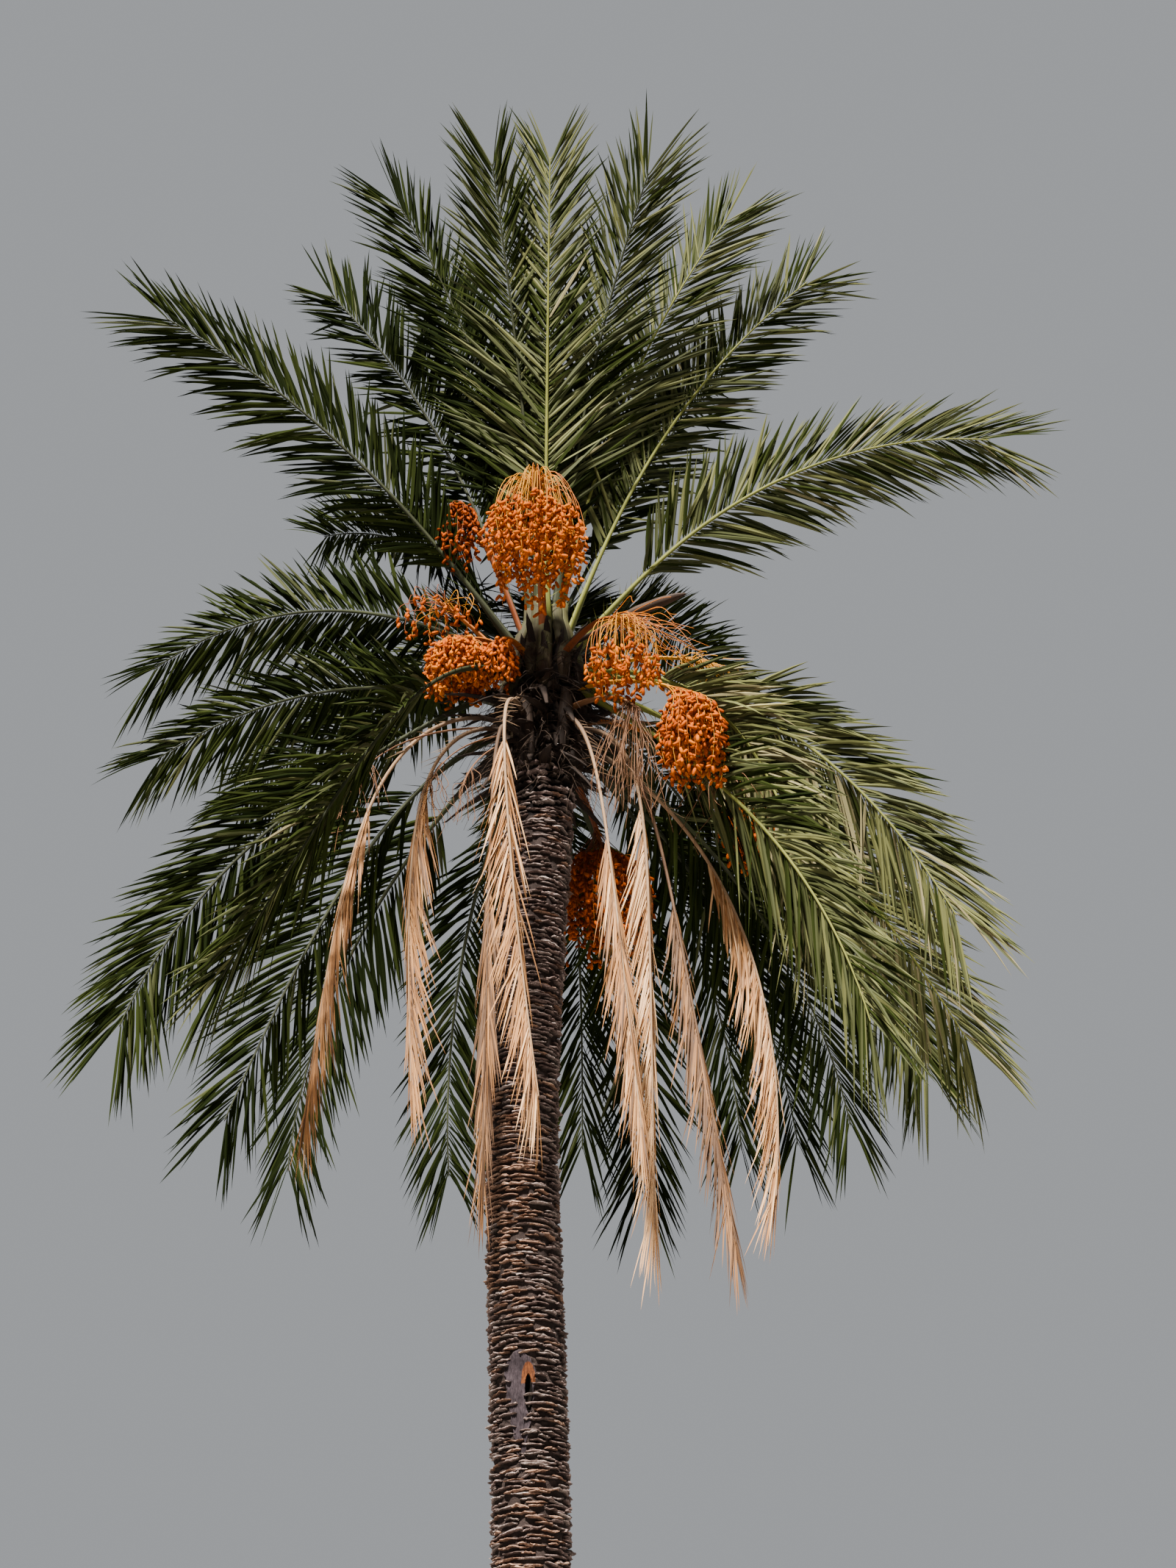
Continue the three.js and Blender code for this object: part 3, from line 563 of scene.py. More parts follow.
# Fronds: the course and hinge are the solids' own. The tone is painted light, with a random spread: from 0,
# painted shade, to 1, painted sunlight; for a dead frond it also picks its straw's own colour. A dead frond's
# last values are its bare share and how wide its leaflets stand.
frondFields = ("azimuth", "rise", "droop", "sweep", "length", "tone", "hinge", "bare", "wide")
frond = {
    "lineSteps": 80, "sunk": 0.03, "stalkShare": 0.23, "roll": 68.0, "rollDry": 0.5, "wobble": 12.0,
    "wobbleStep": 2.4, "droopPower": 1.5, "width": 0.008, "widthRoot": 0.022, "widthBoot": 0.018,
    "height": 0.008, "heightRoot": 0.02, "heightBoot": 0.012, "boot": 0.05, "flatBoot": 0.046,
    "flatBootShare": 0.085, "flatDry": 0.25, "slimDry": 0.68, "above": 0.62, "below": 1.15, "sides": 8,
    "stations": 38, "stationPower": 1.25, "lean": (42, 24), "leanDry": (15, 8), "leanPower": 2.0,
    "shortTip": 0.15, "shortRoot": 0.45, "shortRootShare": 0.12,
}
frondKinds = [
    {"name": "upright", "roots": (9.86, 9.74, 9.8), "fold": 24, "leaflet": 0.66, "broad": 0.92, "sag": 0.06,
     "rows": [
        (37, 68, 13, 2, 3.05, 0.2), (70, 77, 16, 0, 3.05, 0.2), (105, 80, 14, 0, 3.05, 0.16),
        (158, 79, 10, 4, 3.05, 0.04), (176, 74, 22, 2, 3.1, 0.06), (208, 84, 34, 8, 3.1, 0.0),
        (247, 79, 20, 7, 2.95, 0.28), (270, 78, 6, 2, 3.12, 0.38), (306, 82, 31, -5, 3.0, 0.3),
        (340, 79, 28, -5, 3.05, 0.38), (358, 73, 31, -5, 3.15, 0.32)]},
    {"name": "spreading", "roots": (9.62,), "fold": 22, "leaflet": 0.64, "broad": 0.95, "sag": 0.12, "rows": [
        (62, 50, 52, 0, 3.05, 0.2), (86, 56, 48, 0, 3.05, 0.2), (112, 50, 48, 0, 3.05, 0.2),
        (134, 62, 40, 0, 3.05, 0.08), (157, 40, 54, -12, 3.05, 0.08), (202, 52, 30, -3, 2.95, 0.06),
        (348, 53, 62, 8, 3.0, 0.36)]},
    {"name": "drooping", "roots": (9.46, 9.37), "fold": 14, "leaflet": 0.6, "broad": 1, "sag": 0.22, "rows": [
        (14, -1, 60, 0, 3.1, 0.55, 0.45), (29, -12, 56, 8, 3.1, 0.3), (62, 18, 70, 0, 3.05, 0.2),
        (95, 20, 66, 0, 3.05, 0.2), (128, 32, 50, 8, 3.05, 0.1), (144, 33, 50, 5, 3.0, 0.12),
        (185, -32, 42, 2, 3.1, 0.1), (224, 16, 82, -13, 3.15, 0.26, 0.15), (355, 10, 76, 0, 2.78, 0.5, 0.6),
        (330, -42, 36, -3, 3.1, 0.36), (339, 6, 90, -4, 2.45, 0.6, 0.5)]},
    {"name": "low", "roots": (9.22, 9.14), "fold": 16, "leaflet": 0.56, "broad": 0.92, "sag": 0.17,
     "perSide": 84, "rows": [
        (30, -24, 51, 16, 2.85, 0.06), (42, -18, 57, 18, 2.85, 0.05), (54, -12, 68, 16, 2.95, 0.04),
        (68, -19, 84, 12, 2.9, 0.0), (82, 0, 88, 8, 3.05, 0.0), (114, -22, 95, -12, 2.8, 0.0),
        (140, -27, 61, -7, 2.95, 0.0), (180, -25, 47, 4, 2.85, 0.0, 0.3)]},
    {"name": "dead", "roots": (9.14, 9.06), "fold": -55, "leaflet": 0.44, "sag": 0.1, "dry": True, "rows": [
        (196, 24, 110, -4, 3.0, 0.5, 0.18, 0.38, 0.7), (209, 12, 106, 0, 2.55, 0.45, 0.18, 0.28, 0.9),
        (237, -2, 88, 0, 3.0, 0.15, 0.07, 0.45, 0.45), (248, 36, 118, 98, 3.1, 0.66, 0.12, 0.28, 1.5),
        (302, -28, 53, 0, 2.95, 0.5, 0.12, 0.4, 0.9), (329, 10, 100, 0, 3.25, 1.0, 0.1, 0.26, 1.2),
        (344, -15, 67, 0, 3.35, 0.1, 0.1, 0.42, 1.0), (354, -33, 63, 0, 3.1, 0.75, 0.95, 0.36, 1.4)]},
]
leaflet = {
    "perSide": 130, "perSideDry": 115, "halfWidth": 0.0134, "halfWidthDry": 0.006, "narrower": 0.35,
    "stations": (0.03, 0.22, 0.52, 0.8), "outline": (0.5, 0.95, 1.0, 0.6), "vee": 0.42, "thick": 0.0009,
    "inset": 0.42, "leanSpread": 5.5, "foldSpread": 11, "tiltSpread": 28, "toneSpread": 0.75,
}


def limbFrames(limb, t):
    # A limb's law: the elevation falls by the droop, the azimuth turns by the sweep, the line is the sum of
    # short steps that way, and the frame turns about it by the twist. Gives place, along, side and up at t.
    def heading(share):
        if limb.get("hinge"):
            bend = (1 - np.exp(-share / limb["hinge"])) / (1 - math.exp(-1 / limb["hinge"]))
        else:
            bend = np.maximum(share, 0) ** frond["droopPower"]
        return limb["rise"] - limb["droop"] * bend, limb["azimuth"] + limb.get("sweep", 0) * share

    steps = frond["lineSteps"]
    moves = direction(*heading((np.arange(steps) + 0.5) / steps)) * limb["length"] / steps
    start = trunkPoint(limb["azimuth"], limb["root"], -frond["sunk"])
    places = start + np.vstack([np.zeros(3), np.cumsum(moves, axis=0)])
    where = np.clip(t, 0, 1) * steps
    at = np.stack([np.interp(where, np.arange(steps + 1), places[:, k]) for k in range(3)], axis=-1)
    elevation, turned = heading(t)
    along = direction(elevation, turned)
    twist = limb.get("twist", 0) * (1 - (1 - t) ** 3)
    side = spin(direction(np.zeros_like(turned), turned + 90), along, twist)
    return at, along, side, np.cross(along, side)


def frondLimb(kind, index):
    # A green blade rolls by the cosine of its azimuth until its face is to the front, and a dead one by a
    # share of its azimuth's distance from the front. A sine of its number makes each a little different.
    limb = {"bare": frond["stalkShare"], "wide": 1.0, **dict(zip(frondFields, kind["rows"][index]))}
    roll = -frond["roll"] * math.cos(math.radians(limb["azimuth"]))
    if "dry" in kind:
        roll = frond["rollDry"] * (limb["azimuth"] - 270)
    wobble = frond["wobble"] * math.sin(frond["wobbleStep"] * (index + len(kind["rows"])))
    return {**limb, "root": kind["roots"][index % len(kind["roots"])], "twist": wobble + roll}


def ribWidth(t, flat=1.0):  # a taper, a little more in the boot, and the flat base by a bell
    taper = frond["width"] + frond["widthRoot"] * (1 - t) + frond["widthBoot"] * np.exp(-t / frond["boot"])
    return taper + flat * frond["flatBoot"] * np.exp(-((t / frond["flatBootShare"]) ** 2) / 2)


def growStick(limb, t, wide, high, sides, point, *stretch):  # ovals along a limb, pointed at its tip
    at, along, side, up = limbFrames(limb, t)
    rings = ovals(at, side, up, wide, high, sides, *stretch)
    return skin(rings[None], at[:1] - along[:1] * 0.01, at[-1:] + along[-1:] * point, limb["length"])


def growRib(limb, flat=1.0, slim=1.0):  # an oval higher below than above, that widens into a boot at the root
    t = np.linspace(0, 1, frond["stations"]) ** frond["stationPower"]
    high = frond["height"] + frond["heightRoot"] * (1 - t) + frond["heightBoot"] * np.exp(-t / frond["boot"])
    wide = slim * ribWidth(t, flat)
    return growStick(limb, t, wide / 2, high / 2, frond["sides"], 0.02, frond["above"], frond["below"])


def drooped(base, aim, reach, sag, share):  # points on lines that fall with the square of their length
    return base[:, None] + reach * (aim[:, None] * share + down * sag * share ** 2)


def growBlades(base, aim, face, reach, halfWidth, sag):
    # Leaflets, all at once: four rings on a line that sags, each a flat V with a groove above and a keel
    # below, between a pointed foot and a pointed tip.
    share, outline = (np.array(leaflet[name])[None, :, None] for name in ("stations", "outline"))
    reach, sag, halfWidth = (values[:, None, None] for values in (reach, sag, halfWidth))
    centre = drooped(base, aim, reach, sag, share)
    tangent = unit(aim[:, None] + 2 * sag * share * down)
    across = unit(np.cross(np.broadcast_to(face[:, None], tangent.shape), tangent))
    over = np.cross(tangent, across)
    half = halfWidth * outline
    middle, edge, keel = centre + over * half * leaflet["vee"], across * half, over * leaflet["thick"]
    rings = np.stack([middle + edge, centre + keel, middle - edge, centre - keel], axis=2)
    return skin(rings, base, drooped(base, aim, reach, sag, 1)[:, 0])


def growLeaflets(kind, limb, shades):
    # The solid's law for the tip of a leaflet, with chance in its lean, fold, length and tilt.
    dry = "dry" in kind
    perSide = leaflet["perSideDry"] if dry else kind.get("perSide", leaflet["perSide"])
    u = np.tile((np.arange(perSide) + 0.5) / perSide, 2)
    u = np.clip(u + normal(0, 0.3 / perSide, len(u)), 0, 1)
    sign = np.repeat([1.0, -1.0], perSide)
    count = len(u)
    t = limb["bare"] + (1 - limb["bare"]) * u
    at, along, side, up = limbFrames(limb, t)
    root, end = frond["leanDry"] if dry else frond["lean"]
    lean = limb["wide"] * (root + (end - root) * u ** frond["leanPower"])
    lean = np.radians(lean + normal(0, leaflet["leanSpread"], count))[:, None]
    fold = np.radians(kind["fold"] + normal(0, leaflet["foldSpread"], count))[:, None]
    grown = 1 - frond["shortRoot"] * np.maximum(0, 1 - u / frond["shortRootShare"])
    reach = kind["leaflet"] * grown * (1 - frond["shortTip"] * u * u) * uniform(0.84, 1.03, count)
    outward = side * sign[:, None] * np.cos(fold) + up * np.sin(fold)
    aim = unit(along * np.cos(lean) + outward * np.sin(lean))
    lamina = unit(along - aim * np.sum(along * aim, axis=-1, keepdims=True))
    face = np.cross(aim, lamina)
    face = face * np.sign(np.sum(face * up, axis=-1, keepdims=True))
    face = spin(face, aim, normal(0, leaflet["tiltSpread"], count))
    base = at + outward * (ribWidth(t) * leaflet["inset"])[:, None]
    half = leaflet["halfWidthDry"] if dry else leaflet["halfWidth"] * kind["broad"]
    half = half * (1 - leaflet["narrower"] * u * u) * uniform(0.8, 1.1, count)
    body = growBlades(base, aim, face, reach, half, kind["sag"] * uniform(0.4, 1.5, count))
    # A leaflet's green is the frond's tone, painted light, with a random spread.
    tone = limb["tone"] * (shades - 1) + normal(0, leaflet["toneSpread"], count)
    return toned(body, np.clip(np.round(tone), 0, shades - 1).astype(int))


spine = {"perSide": 11, "from": 0.25, "slant": (35, 60), "radius": 0.0028, "length": (0.04, 0.1)}


def growSpines(limb):
    # Thorns on the bare stalk, where leaflets have turned to spines: a three-sided foot and a point.
    count = 2 * spine["perSide"]
    u = np.tile(np.linspace(spine["from"], 1.0, spine["perSide"]), 2) + normal(0, 0.01, count)
    t = frond["stalkShare"] * u
    at, along, side, up = limbFrames(limb, t)
    side = side * np.repeat([1.0, -1.0], spine["perSide"])[:, None]
    slant = np.radians(uniform(*spine["slant"], count))[:, None]
    aim = unit(along * np.cos(slant) + side * np.sin(slant) + up * uniform(-0.1, 0.5, (count, 1)))
    base = at + side * (ribWidth(t) * 0.4)[:, None]
    across = unit(np.cross(aim, up))
    ring = ovals(base, np.cross(across, aim), across, spine["radius"], spine["radius"], 3)
    long = uniform(*spine["length"], (count, 1)) * (0.6 + 0.8 * u[:, None])
    return skin(ring[:, None], base - aim * 0.004, base + aim * long)


boot = {
    "above": 0.14, "below": 0.44, "lowRoot": 9.3, "lowBelow": 0.7, "half": 0.036, "halfLow": 0.058,
    "thick": 0.038, "back": 0.012, "out": 0.008, "under": 0.03, "rings": 10, "across": 7, "map": 0.56,
}
# Boot tones: the first, near black, is painted shade under the crown; the others follow the frond's tone from
# painted shade to painted sunlight, each with a brown foot.
bootTones = [
    ("boot dead", (12, 7, 5), (30, 17, 11), (5, 3, 2)),
    ("boot dark", (40, 22, 12), (55, 58, 24), (14, 9, 5)),
    ("boot green", (36, 18, 11), (80, 86, 28), (18, 10, 6)),
    ("boot yellow", (46, 23, 13), (115, 115, 38), (24, 13, 8)),
]


def growBoot(limb):
    # The clasping base of a frond: a shell with the head's own curve, from above the root down to where it
    # dives under its neighbours. Its face swells by a square root across, and it widens downwards.
    share = np.linspace(0, 1, boot["rings"])
    below = boot["below"] * (boot["lowBelow"] if limb["root"] < boot["lowRoot"] else 1.0)
    height = (limb["root"] - below + (below + boot["above"]) * share)[:, None]
    half = boot["halfLow"] + (boot["half"] - boot["halfLow"]) * share ** 0.7
    half = (half * np.minimum(1, 0.4 + 4.0 * share))[:, None]
    across = np.linspace(-1, 1, boot["across"])
    base = (boot["out"] * np.minimum(1, 2.2 * share) - boot["under"] * (1 - share) ** 2)[:, None]
    swell = boot["thick"] * np.sqrt(1 - across ** 2 * 0.96) * np.minimum(1, 0.3 + 3 * share)[:, None]
    radius = np.maximum(trunkRadius(np.minimum(height, 9.9)), 0.09)
    outer = limb["azimuth"] + np.degrees(half * across / radius)
    base = base + radius - trunkRadius(height)
    face = trunkPoint(outer, height, base + swell)
    back = trunkPoint(outer[:, ::-1][:, 1:-1], height, base - boot["back"])
    rings = np.concatenate([face, back], axis=1)
    return skin(rings[None], rings[:1].mean(1) + down * 0.02, rings[-1:].mean(1), boot["map"])


def bootMaterial(name, low, high, lines):
    # Brown and fibrous at the foot, and the colour of a living stalk at the top.
    material, tree = newMaterial(name)
    base = blend(tree, ramp(tree, lengthwise(tree), 0.16, 0.44), low, high)
    color = blend(tree, 0.4, base, patched(tree, low, high, 9.0))
    fine = streaked(tree, (5.0, 46.0, 1.0), 0.75)
    return dress(material, blend(tree, fine, color, lines), 0.75, 0.15, fine, 0.5)


stump = {
    "count": 96, "low": 8.8, "high": 9.66, "upright": 9.42, "length": 0.33, "wide": 0.03, "deep": 0.012,
    "sunk": 0.03, "sag": 0.3, "stations": 5, "sides": 6,
}
fibre = {"threads": 900, "low": 8.75, "high": 9.6, "radius": 0.0018, "length": 0.22, "sag": 0.8, "points": 6}


def growStumps():
    # Old stalks cut short: flat ovals at the golden angle that leave the head, sag and end in a ragged point.
    # Above a height they stand up, as the sheaths between the stalks do.
    count = stump["count"]
    order = np.arange(count)
    azimuth = order * goldenAngle + normal(0, 9, count)
    height = stump["low"] + (stump["high"] - stump["low"]) * (order + 0.5) / count
    upright = height > stump["upright"]
    rise = np.where(upright, uniform(62, 82, count), uniform(-45, 25, count))
    aim = direction(rise, azimuth + normal(0, 14, count))
    long = stump["length"] * uniform(0.5, 1.25, count) * np.where(upright, 0.8, 1.0)
    share = np.linspace(0, 1, stump["stations"])
    root = trunkPoint(azimuth, height, -stump["sunk"])
    lines = drooped(root, aim, long[:, None, None], stump["sag"], share[:, None])
    side = unit(np.cross(down, aim))[:, None]
    slim = (1 - 0.7 * share ** 1.5) * uniform(0.8, 1.2, (count, len(share)))
    wide, deep = stump["wide"] * slim, stump["deep"] * slim
    rings = ovals(lines, side, np.cross(side, aim[:, None]), wide, deep, stump["sides"])
    return skin(rings, lines[:, 0] - aim * 0.01, lines[:, -1] + aim * 0.03, long)


def growFibre():
    # Dark threads of old sheaths: each leaves the head at random and bends down by its own weight.
    count, points = fibre["threads"], fibre["points"]
    azimuth = uniform(0, 360, count)
    root = trunkPoint(azimuth, uniform(fibre["low"], fibre["high"], count), 0.0)
    aim = direction(uniform(-30, 75, count), azimuth + normal(0, 45, count))
    share = np.linspace(0, 1, points)[None, :, None]
    long = fibre["length"] * uniform(0.4, 1.4, count)[:, None, None]
    kink = normal(0, 0.01, (count, points, 3)) * share
    lines = drooped(root, aim, long, fibre["sag"], share) + kink
    return tubes(lines, fibre["radius"], (1.4, 0.5), np.array([0.3, 0.5, 0.8]))


# Leaflet greens, from painted shade to painted sunlight, picked by a frond's tone.
greenTones = [
    ("shade green", (3, 5, 1), (5, 8, 2), (8, 11, 3)),
    ("deep green", (9, 13, 3), (14, 19, 4), (20, 26, 6)),
    ("grey green", (25, 30, 10), (36, 41, 15), (47, 51, 19)),
    ("leaf green", (60, 67, 21), (84, 89, 30), (104, 103, 38)),
    ("olive", (124, 113, 50), (165, 145, 71), (192, 161, 83)),
    ("yellow olive", (184, 168, 58), (232, 206, 80), (268, 230, 98)),
]
# Dead leaflets: the straw's own colours, brown to bleached, picked by the frond's tone, so partly painted
# light.
dryTones = [
    ("brown straw", (72, 36, 18), (128, 68, 36), (38, 19, 10)),
    ("tan straw", (200, 88, 32), (255, 124, 50), (108, 46, 18)),
    ("pale straw", (335, 146, 47), (400, 194, 70), (205, 84, 29)),
    ("bleached straw", (540, 312, 148), (640, 392, 202), (340, 168, 74)),
]
# Green ribs: dark for painted shade, green, and yellow for painted sunlight, picked by the frond's tone.
ribTones = [
    ("dark", (11, 12, 7), (21, 25, 11), (34, 38, 17)),
    ("green", (85, 95, 18), (120, 126, 26), (150, 150, 36)),
    ("yellow", (150, 145, 28), (190, 176, 36), (220, 195, 50)),
]
# Dead ribs: brown or straw by the frond's tone, so partly painted light.
dryRibTones = [
    ("brown", (70, 34, 16), (130, 70, 36), (36, 18, 10)),
    ("straw", (250, 150, 78), (340, 215, 125), (150, 82, 44)),
]


def makeFronds():
    blade = {"stretch": (1.5, 9.0, 1.0)}
    greens = shadesOf("leaflet", greenTones[:2], roughness=0.8, shine=0.01, **blade)
    greens += shadesOf("leaflet", greenTones[2:], roughness=0.62, shine=0.05, **blade)
    straws = shadesOf("dry leaflet", dryTones, roughness=0.7, **blade)
    ribs = shadesOf("rib", ribTones, roughness=0.6, shine=0.08)
    # A dead rib's foot, near the head, fades from a dark painted shade.
    dryRibs = shadesOf("dry rib", dryRibTones, roughness=0.72, foot=(20, 11, 7))
    spines, boots = [], []
    for kind in frondKinds:
        blades, sticks, nodes = [], [], []
        dry = "dry" in kind
        leaves, stalks = (straws, dryRibs) if dry else (greens, ribs)
        for index in range(len(kind["rows"])):
            limb = frondLimb(kind, index)
            # The rib, boot and spines take the frond's tone: painted shade for a dark frond, painted sunlight
            # for a lit one.
            shade = int(limb["tone"] > 0.4) if dry else int(np.clip(limb["tone"] * 3.2, 0, 2))
            stick = growRib(limb, frond["flatDry"], frond["slimDry"]) if dry else growRib(limb)
            sticks.append(toned(stick, shade))
            blades.append(growLeaflets(kind, limb, len(leaves)))
            # Low fronds and those pointing down get the near-black first boot tone: painted shade under the
            # crown.
            brown = limb["root"] < boot["lowRoot"] or limb["rise"] < 0
            boots.append(toned(growBoot(limb), 0 if brown else 1 + shade))
            spines.append(toned(growSpines(limb), len(ribs) + shade if dry else shade))
            name = f"{kind['name']}_frond_{index + 1}"
            nodes += [node for node in (name, name + "_outer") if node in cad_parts]
        addPiece(f"{kind['name']}_ribs", sticks, stalks, nodes)
        addPiece(f"{kind['name']}_leaflets", blades, leaves, nodes, rounded=False)
    addPiece("stalk_spines", spines, ribs + dryRibs, rounded=False)
    # The stumps keep the near-black first boot tone: painted shade under the crown.
    boots.append(growStumps())
    addPiece("frond_boots", boots, [bootMaterial(*tones) for tones in bootTones])
    threads = fibrous("sheath fibre", (22, 12, 7), (50, 30, 18), (10, 6, 4), 0.9)
    addPiece("sheath_fibre", [growFibre()], [threads])


# Fruit bunches: the solids' stalks, then how far the strands reach and hang, their number and tone. Stem is
# the stalk's tone, half is half the width of the fruit on a strand, bare its share with no dates, and fan a
# middle and a width in degrees. The last fruited one and all bare ones but the first have no solid.
bunchFields = ("azimuth", "root", "rise", "droop", "length", "reach", "hang", "strands", "tone")
fruitFields = bunchFields + ("stem", "half", "dates", "bare", "arch", "fruit")
bareFields = bunchFields + ("slim", "fan")
bunches = [dict(zip(fruitFields, row)) for row in (
    (266, 9.69, 64, 34, 0.9, 0.19, 0.68, 84, 2, 0, 0.084, 13, 0.6, 0.2, 1.9),
    (207, 9.69, 70, 15, 1.0, 0.06, 0.44, 20, 0, 0, 0.055, 13, 0.36, 0.05, 0.5),
    (186, 9.54, 50, 12, 0.64, 0.23, 0.19, 34, 1, 1, 0.032, 2, 0.8, 0.1, 1.2),
    (204, 9.58, 34, 74, 0.4, 0.13, 0.34, 62, 1, 1, 0.062, 14, 0.4, 0.1, 2.2),
    (306, 9.56, 18, 68, 0.64, 0.17, 0.46, 50, 2, 0, 0.04, 5, 0.74, 0.04, 1.8),
    (317, 9.33, -15, 30, 1.02, 0.12, 0.5, 56, 2, 2, 0.06, 15, 0.34, 0.06, 1.5),
    (21, 9.3, 2, 45, 1.15, 0.12, 0.42, 34, 1, 1, 0.062, 12, 0.45, 0.08, 1.3),
    (58, 9.04, -20, 55, 0.62, 0.19, 0.56, 70, 0, 0, 0.082, 14, 0.38, 0.08, 0.9),
    (232, 9.56, 30, 80, 0.26, 0.05, 0.3, 22, 1, 1, 0.05, 10, 0.3, 0.05, 1.6))]
bunches += [dict(zip(bareFields, row)) for row in (
    (314, 9.19, -5, 50, 0.61, 0.136, 0.745, 60, 3),
    (306, 9.56, 18, 68, 0.64, 0.32, 0.3, 40, 1, 0.5, (350, 130)),
    (343, 9.5, 8, 36, 0.8, 0.17, 0.16, 34, 2, 0.8, (340, 140)),
    (198, 9.12, -10, 60, 1.15, 0.07, 0.35, 14, 3, 0.4),
    (212, 9.05, -25, 50, 0.75, 0.08, 0.35, 14, 3, 0.4),
    (222, 9.0, -35, 40, 0.6, 0.07, 0.32, 12, 3, 0.4),
    (330, 9.1, -8, 60, 1.15, 0.2, 0.42, 30, 3, 0.4))]
fruitedNodes, bareNode = [f"fruit_bunch_{index + 1}" for index in range(8)], "fruit_bunch_9"
date = {"length": 0.045, "width": 0.02, "stations": (-0.38, 0.0, 0.36), "outline": (0.8, 1.0, 0.84),
        "sides": 6, "gap": 0.004, "turn": 137.5, "dip": (20, 75)}
strand = {"points": 14, "radius": 0.0024, "taper": (1.3, 0.6), "spread": 0.3, "archShare": 0.42}
stalk = {"points": 14, "sides": 10, "wide": 0.026, "high": 0.013, "slimmer": 0.45, "end": 0.012}


def growStrands(bunch):
    # Strands leave the last part of the stalk all round by the golden angle, arch out to a shoulder on a
    # quadratic curve, and hang straight from there. Every strand has its own reach, drop and sway. Bare ones
    # spread as a cone, or as a fan over some degrees, and fall with a power of their length.
    half, hang, count = bunch.get("half", 0), bunch["hang"], bunch["strands"]
    order = np.arange(count)
    start, along, _, _ = limbFrames(bunch, 1 - strand["spread"] * uniform(0, 1, count) ** 1.5)
    around = np.radians(order * goldenAngle + 20)
    if "fan" in bunch:
        middle, wide = bunch["fan"]
        around = np.radians(middle + wide * (np.mod(order * goldenShare, 1) - 0.5))
    rank = np.sqrt((order + 0.5) / count)
    out = (bunch["reach"] + 0.55 * half) * rank * uniform(0.9, 1.05, count)
    radial = direction(np.zeros(count), np.degrees(around))
    share = np.linspace(0, 1, strand["points"])[None, :, None]
    wander = normal(0, 0.012, (count, 1, 3)) * np.sin(share * 9 + order[:, None, None])
    if "dates" not in bunch:
        fallen = hang * uniform(0.55, 1.0, (count, 1, 1))
        spread = radial[:, None] * (1.7 * out)[:, None, None] * share ** 0.85
        return start[:, None] + spread + down * fallen * share ** 1.35 + 2 * wander * share
    end = limbFrames(bunch, np.array([1.0]))[0]
    shoulder = end + radial * out[:, None] + down * (hang * (0.2 * rank - 0.04))[:, None]
    drop = hang * (0.82 + 0.18 * np.cos(2 * order)) * uniform(0.86, 1.0, count)
    crest = (start + shoulder) / 2 + (along - 0.6 * down) * (bunch["arch"] * hang)
    rise = np.clip(share / strand["archShare"], 0, 1)
    fall = np.clip((share - strand["archShare"]) / (1 - strand["archShare"]), 0, 1)
    start, crest, shoulder = start[:, None], crest[:, None], shoulder[:, None]
    arc = start * (1 - rise) ** 2 + 2 * crest * rise * (1 - rise) + shoulder * rise ** 2
    sway = radial[:, None] * 0.05 * np.sin(fall * 3.0) * half / 0.08
    return arc + down * fall * drop[:, None, None] + sway + wander * fall


def growDates(bunch, lines, shades):
    # Dates all round each strand's hanging part: three rings and two ends, pointing out and down.
    count, points, _ = lines.shape
    dates = bunch["dates"]
    fruited = bunch["bare"] + (1 - bunch["bare"]) * (np.arange(dates) + 0.6) / dates
    share = fruited + normal(0, 0.012, (count, dates)) + normal(0, 0.05, (count, 1))
    where = np.clip(share, 0, 1) * (points - 1)
    low = np.minimum(where.astype(int), points - 2)
    part = (where - low)[..., None]
    pick = np.arange(count)[:, None]
    at = lines[pick, low] * (1 - part) + lines[pick, low + 1] * part
    turn = np.arange(dates) * date["turn"] + uniform(0, 360, (count, 1)) + normal(0, 25, (count, dates))
    axis = direction(-uniform(*date["dip"], (count, dates)), turn).reshape(-1, 3)
    size = uniform(0.82, 1.12, (len(axis), 1))
    centre = at.reshape(-1, 3) + axis * size * (date["length"] * 0.5 + date["gap"])
    across = unit(np.cross(axis, np.array([0.3, 0.2, 1.0])))
    places = centre[:, None] + axis[:, None] * (np.array(date["stations"]) * date["length"] * size)[..., None]
    wide = np.array(date["outline"]) * date["width"] / 2 * size
    rings = ovals(places, across[:, None], np.cross(axis, across)[:, None], wide, wide, date["sides"])
    end = axis * size * date["length"] / 2
    tone = bunch["fruit"] + normal(0, 0.35, (count, 1)) + normal(0, 0.55, (count, dates))
    tone = np.clip(np.round(tone), 0, shades - 1).astype(int)
    return toned(skin(rings, centre - end, centre + end), tone.ravel())


def growStalk(bunch):  # a flat oval tube, slimmer towards its end
    t = np.linspace(0, 1, stalk["points"])
    thin = bunch.get("slim", 1.0) * (1 - stalk["slimmer"] * t)
    return growStick(bunch, t, stalk["wide"] * thin, stalk["high"] * thin, stalk["sides"], stalk["end"])


dateTones = [
    ("date russet", (85, 12, 0), (125, 20, 0), 0.65),
    ("date deep orange", (195, 30, 0), (245, 42, 0), 0.65),
    ("date orange", (295, 52, 0), (340, 68, 0), 0.62),
    ("date golden", (360, 80, 0), (400, 102, 0), 0.62),
]
strandTones = [
    ("russet", (130, 30, 6), (190, 52, 11), (90, 20, 4)),
    ("orange", (290, 75, 1), (360, 105, 2), (200, 42, 1)),
    ("golden", (420, 170, 3), (500, 225, 8), (310, 100, 2)),
    ("dry", (120, 50, 20), (190, 88, 38), (60, 24, 10)),
]


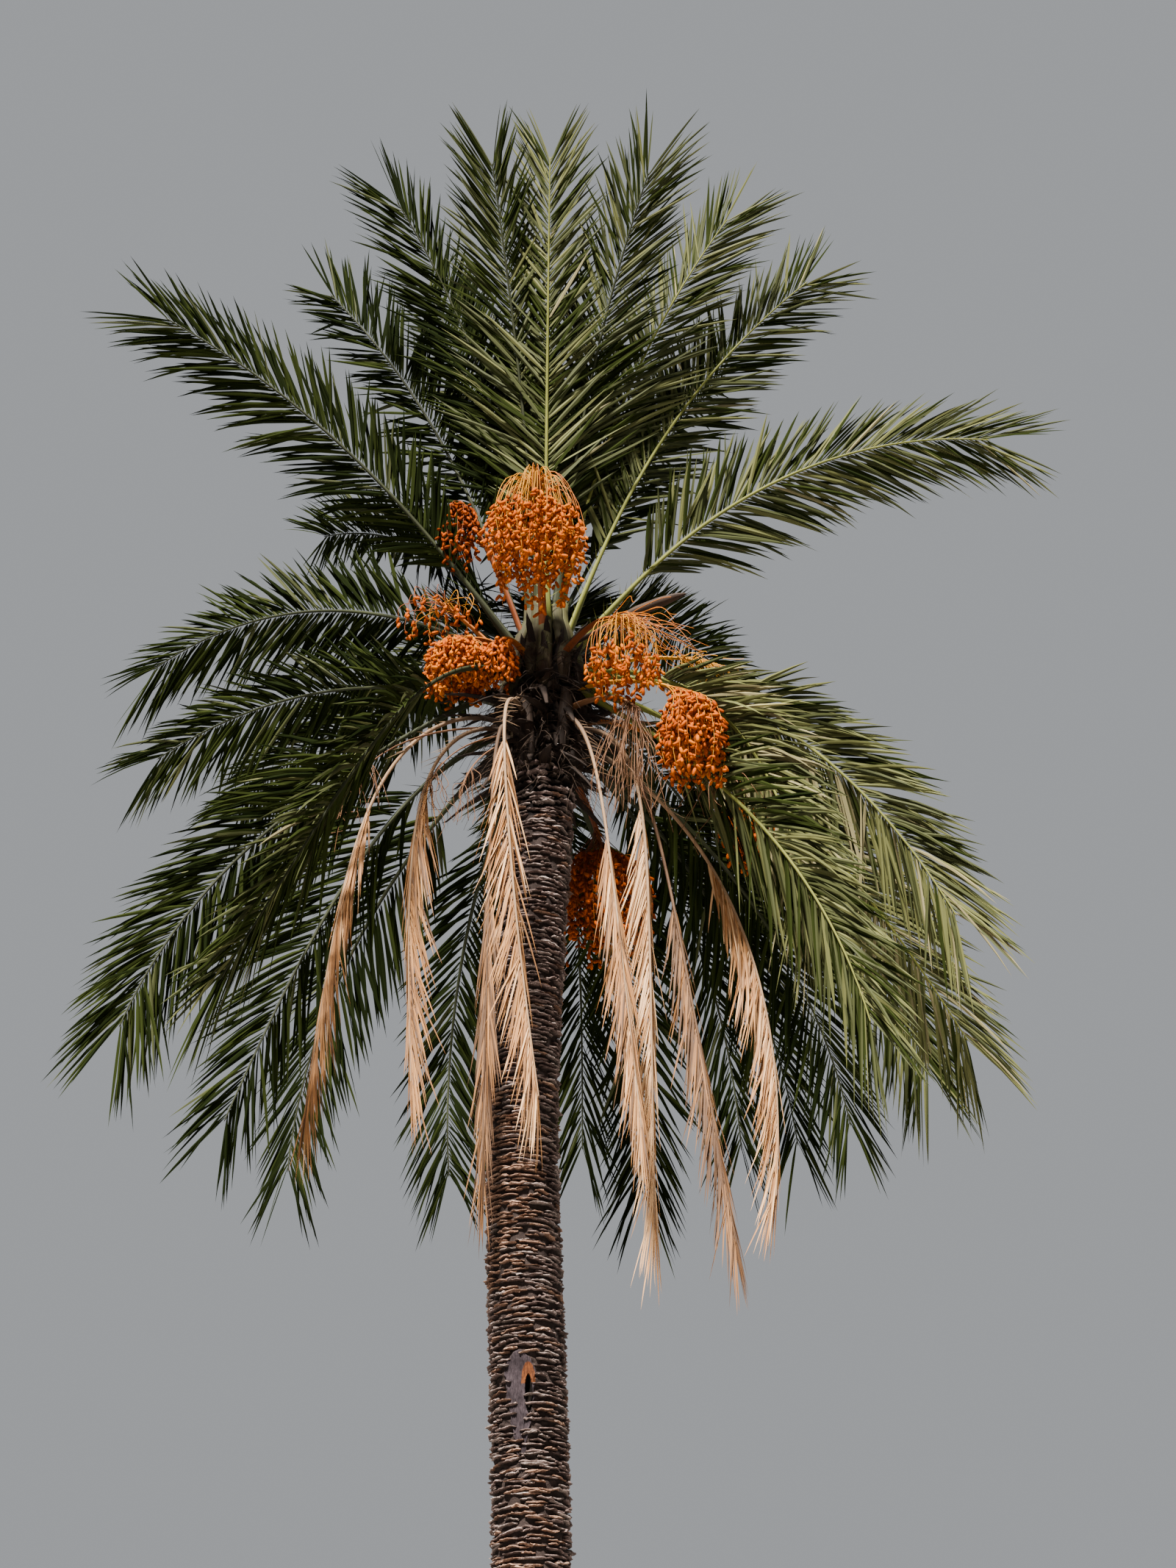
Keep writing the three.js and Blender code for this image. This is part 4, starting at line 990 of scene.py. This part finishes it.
def dateMaterial(name, tone, faded, roughness):
    material, tree = newMaterial(name)
    color = patched(tree, tone, faded, 38.0)
    return dress(material, color, roughness, 0.03, crusted(tree, 160.0)["Height"], 0.12, 0.001)


def makeFruit():
    skins = [dateMaterial(*tones) for tones in dateTones]
    stems = shadesOf("strand", strandTones, roughness=0.6)
    dates, strands, stalks, dryStrands = [], [], [], []
    for bunch in bunches:
        lines = growStrands(bunch)
        body = tubes(lines, strand["radius"], strand["taper"], np.array([0.12, 0.99, 0.08]))
        tones = np.clip(bunch["tone"] + chance.integers(-1, 2, len(lines)), 0, 2)
        if "dates" in bunch:
            strands.append(toned(body, tones))
            dates.append(growDates(bunch, lines, len(skins)))
        else:
            dryStrands.append(toned(body, bunch["tone"]))
        stalks.append(toned(growStalk(bunch), bunch.get("stem", bunch["tone"])))
    addPiece("dates", dates, skins, fruitedNodes)
    addPiece("fruit_strands", strands, stems, fruitedNodes)
    addPiece("fruit_stalks", stalks, stems, fruitedNodes + [bareNode])
    addPiece("dry_strands", dryStrands, stems, [bareNode])


# Dry sheath of a bunch: a pointed boat, hollow above
sheath = {
    "azimuth": 332, "root": 9.67, "rise": 12, "droop": 8, "length": 0.78, "stations": 30, "half": 0.039,
    "depth": 0.046, "raised": 0.5, "hollow": (0.84, 0.62), "shares": (0, 0.3, 0.45, 0.62, 0.8, 0.93, 1.0),
    "full": (0.45, 0.4, 0.75, 1.0, 0.9, 0.6, 0.2), "map": 0.82,
}


def makeSheath():
    # A crescent carried along the line: out round the bottom, back along the hollow.
    t = np.linspace(0, 1, sheath["stations"])
    at, along, side, up = limbFrames(sheath, t)
    full = np.interp(t, sheath["shares"], sheath["full"])[:, None, None]
    outer = np.radians(np.linspace(180, 360, 9))
    inner = outer[::-1][1:-1]
    inWide, inDeep = sheath["hollow"]
    across = np.concatenate([np.cos(outer), inWide * np.cos(inner)])[:, None] * full * sheath["half"]
    upward = np.concatenate([np.sin(outer), inDeep * np.sin(inner)])[:, None] + sheath["raised"]
    rings = at[:, None] + side[:, None] * across + up[:, None] * upward * full * sheath["depth"]
    ends = rings[:1].mean(1) - along[:1] * 0.004, at[-1:] + along[-1:] * 0.01
    # The sheath's tones are darkened to a painted shade, as of its shaded underside.
    tones = (20, 11, 7), (52, 30, 19), (10, 6, 4)
    finish = fibrous("dry sheath", *tones, 0.75, scale=7.0)
    addPiece("sheath", [skin(rings[None], *ends, sheath["map"])], [finish], ["dry_sheath"])


setStage()
makeTrunk()
makeFronds()
makeFruit()
makeSheath()
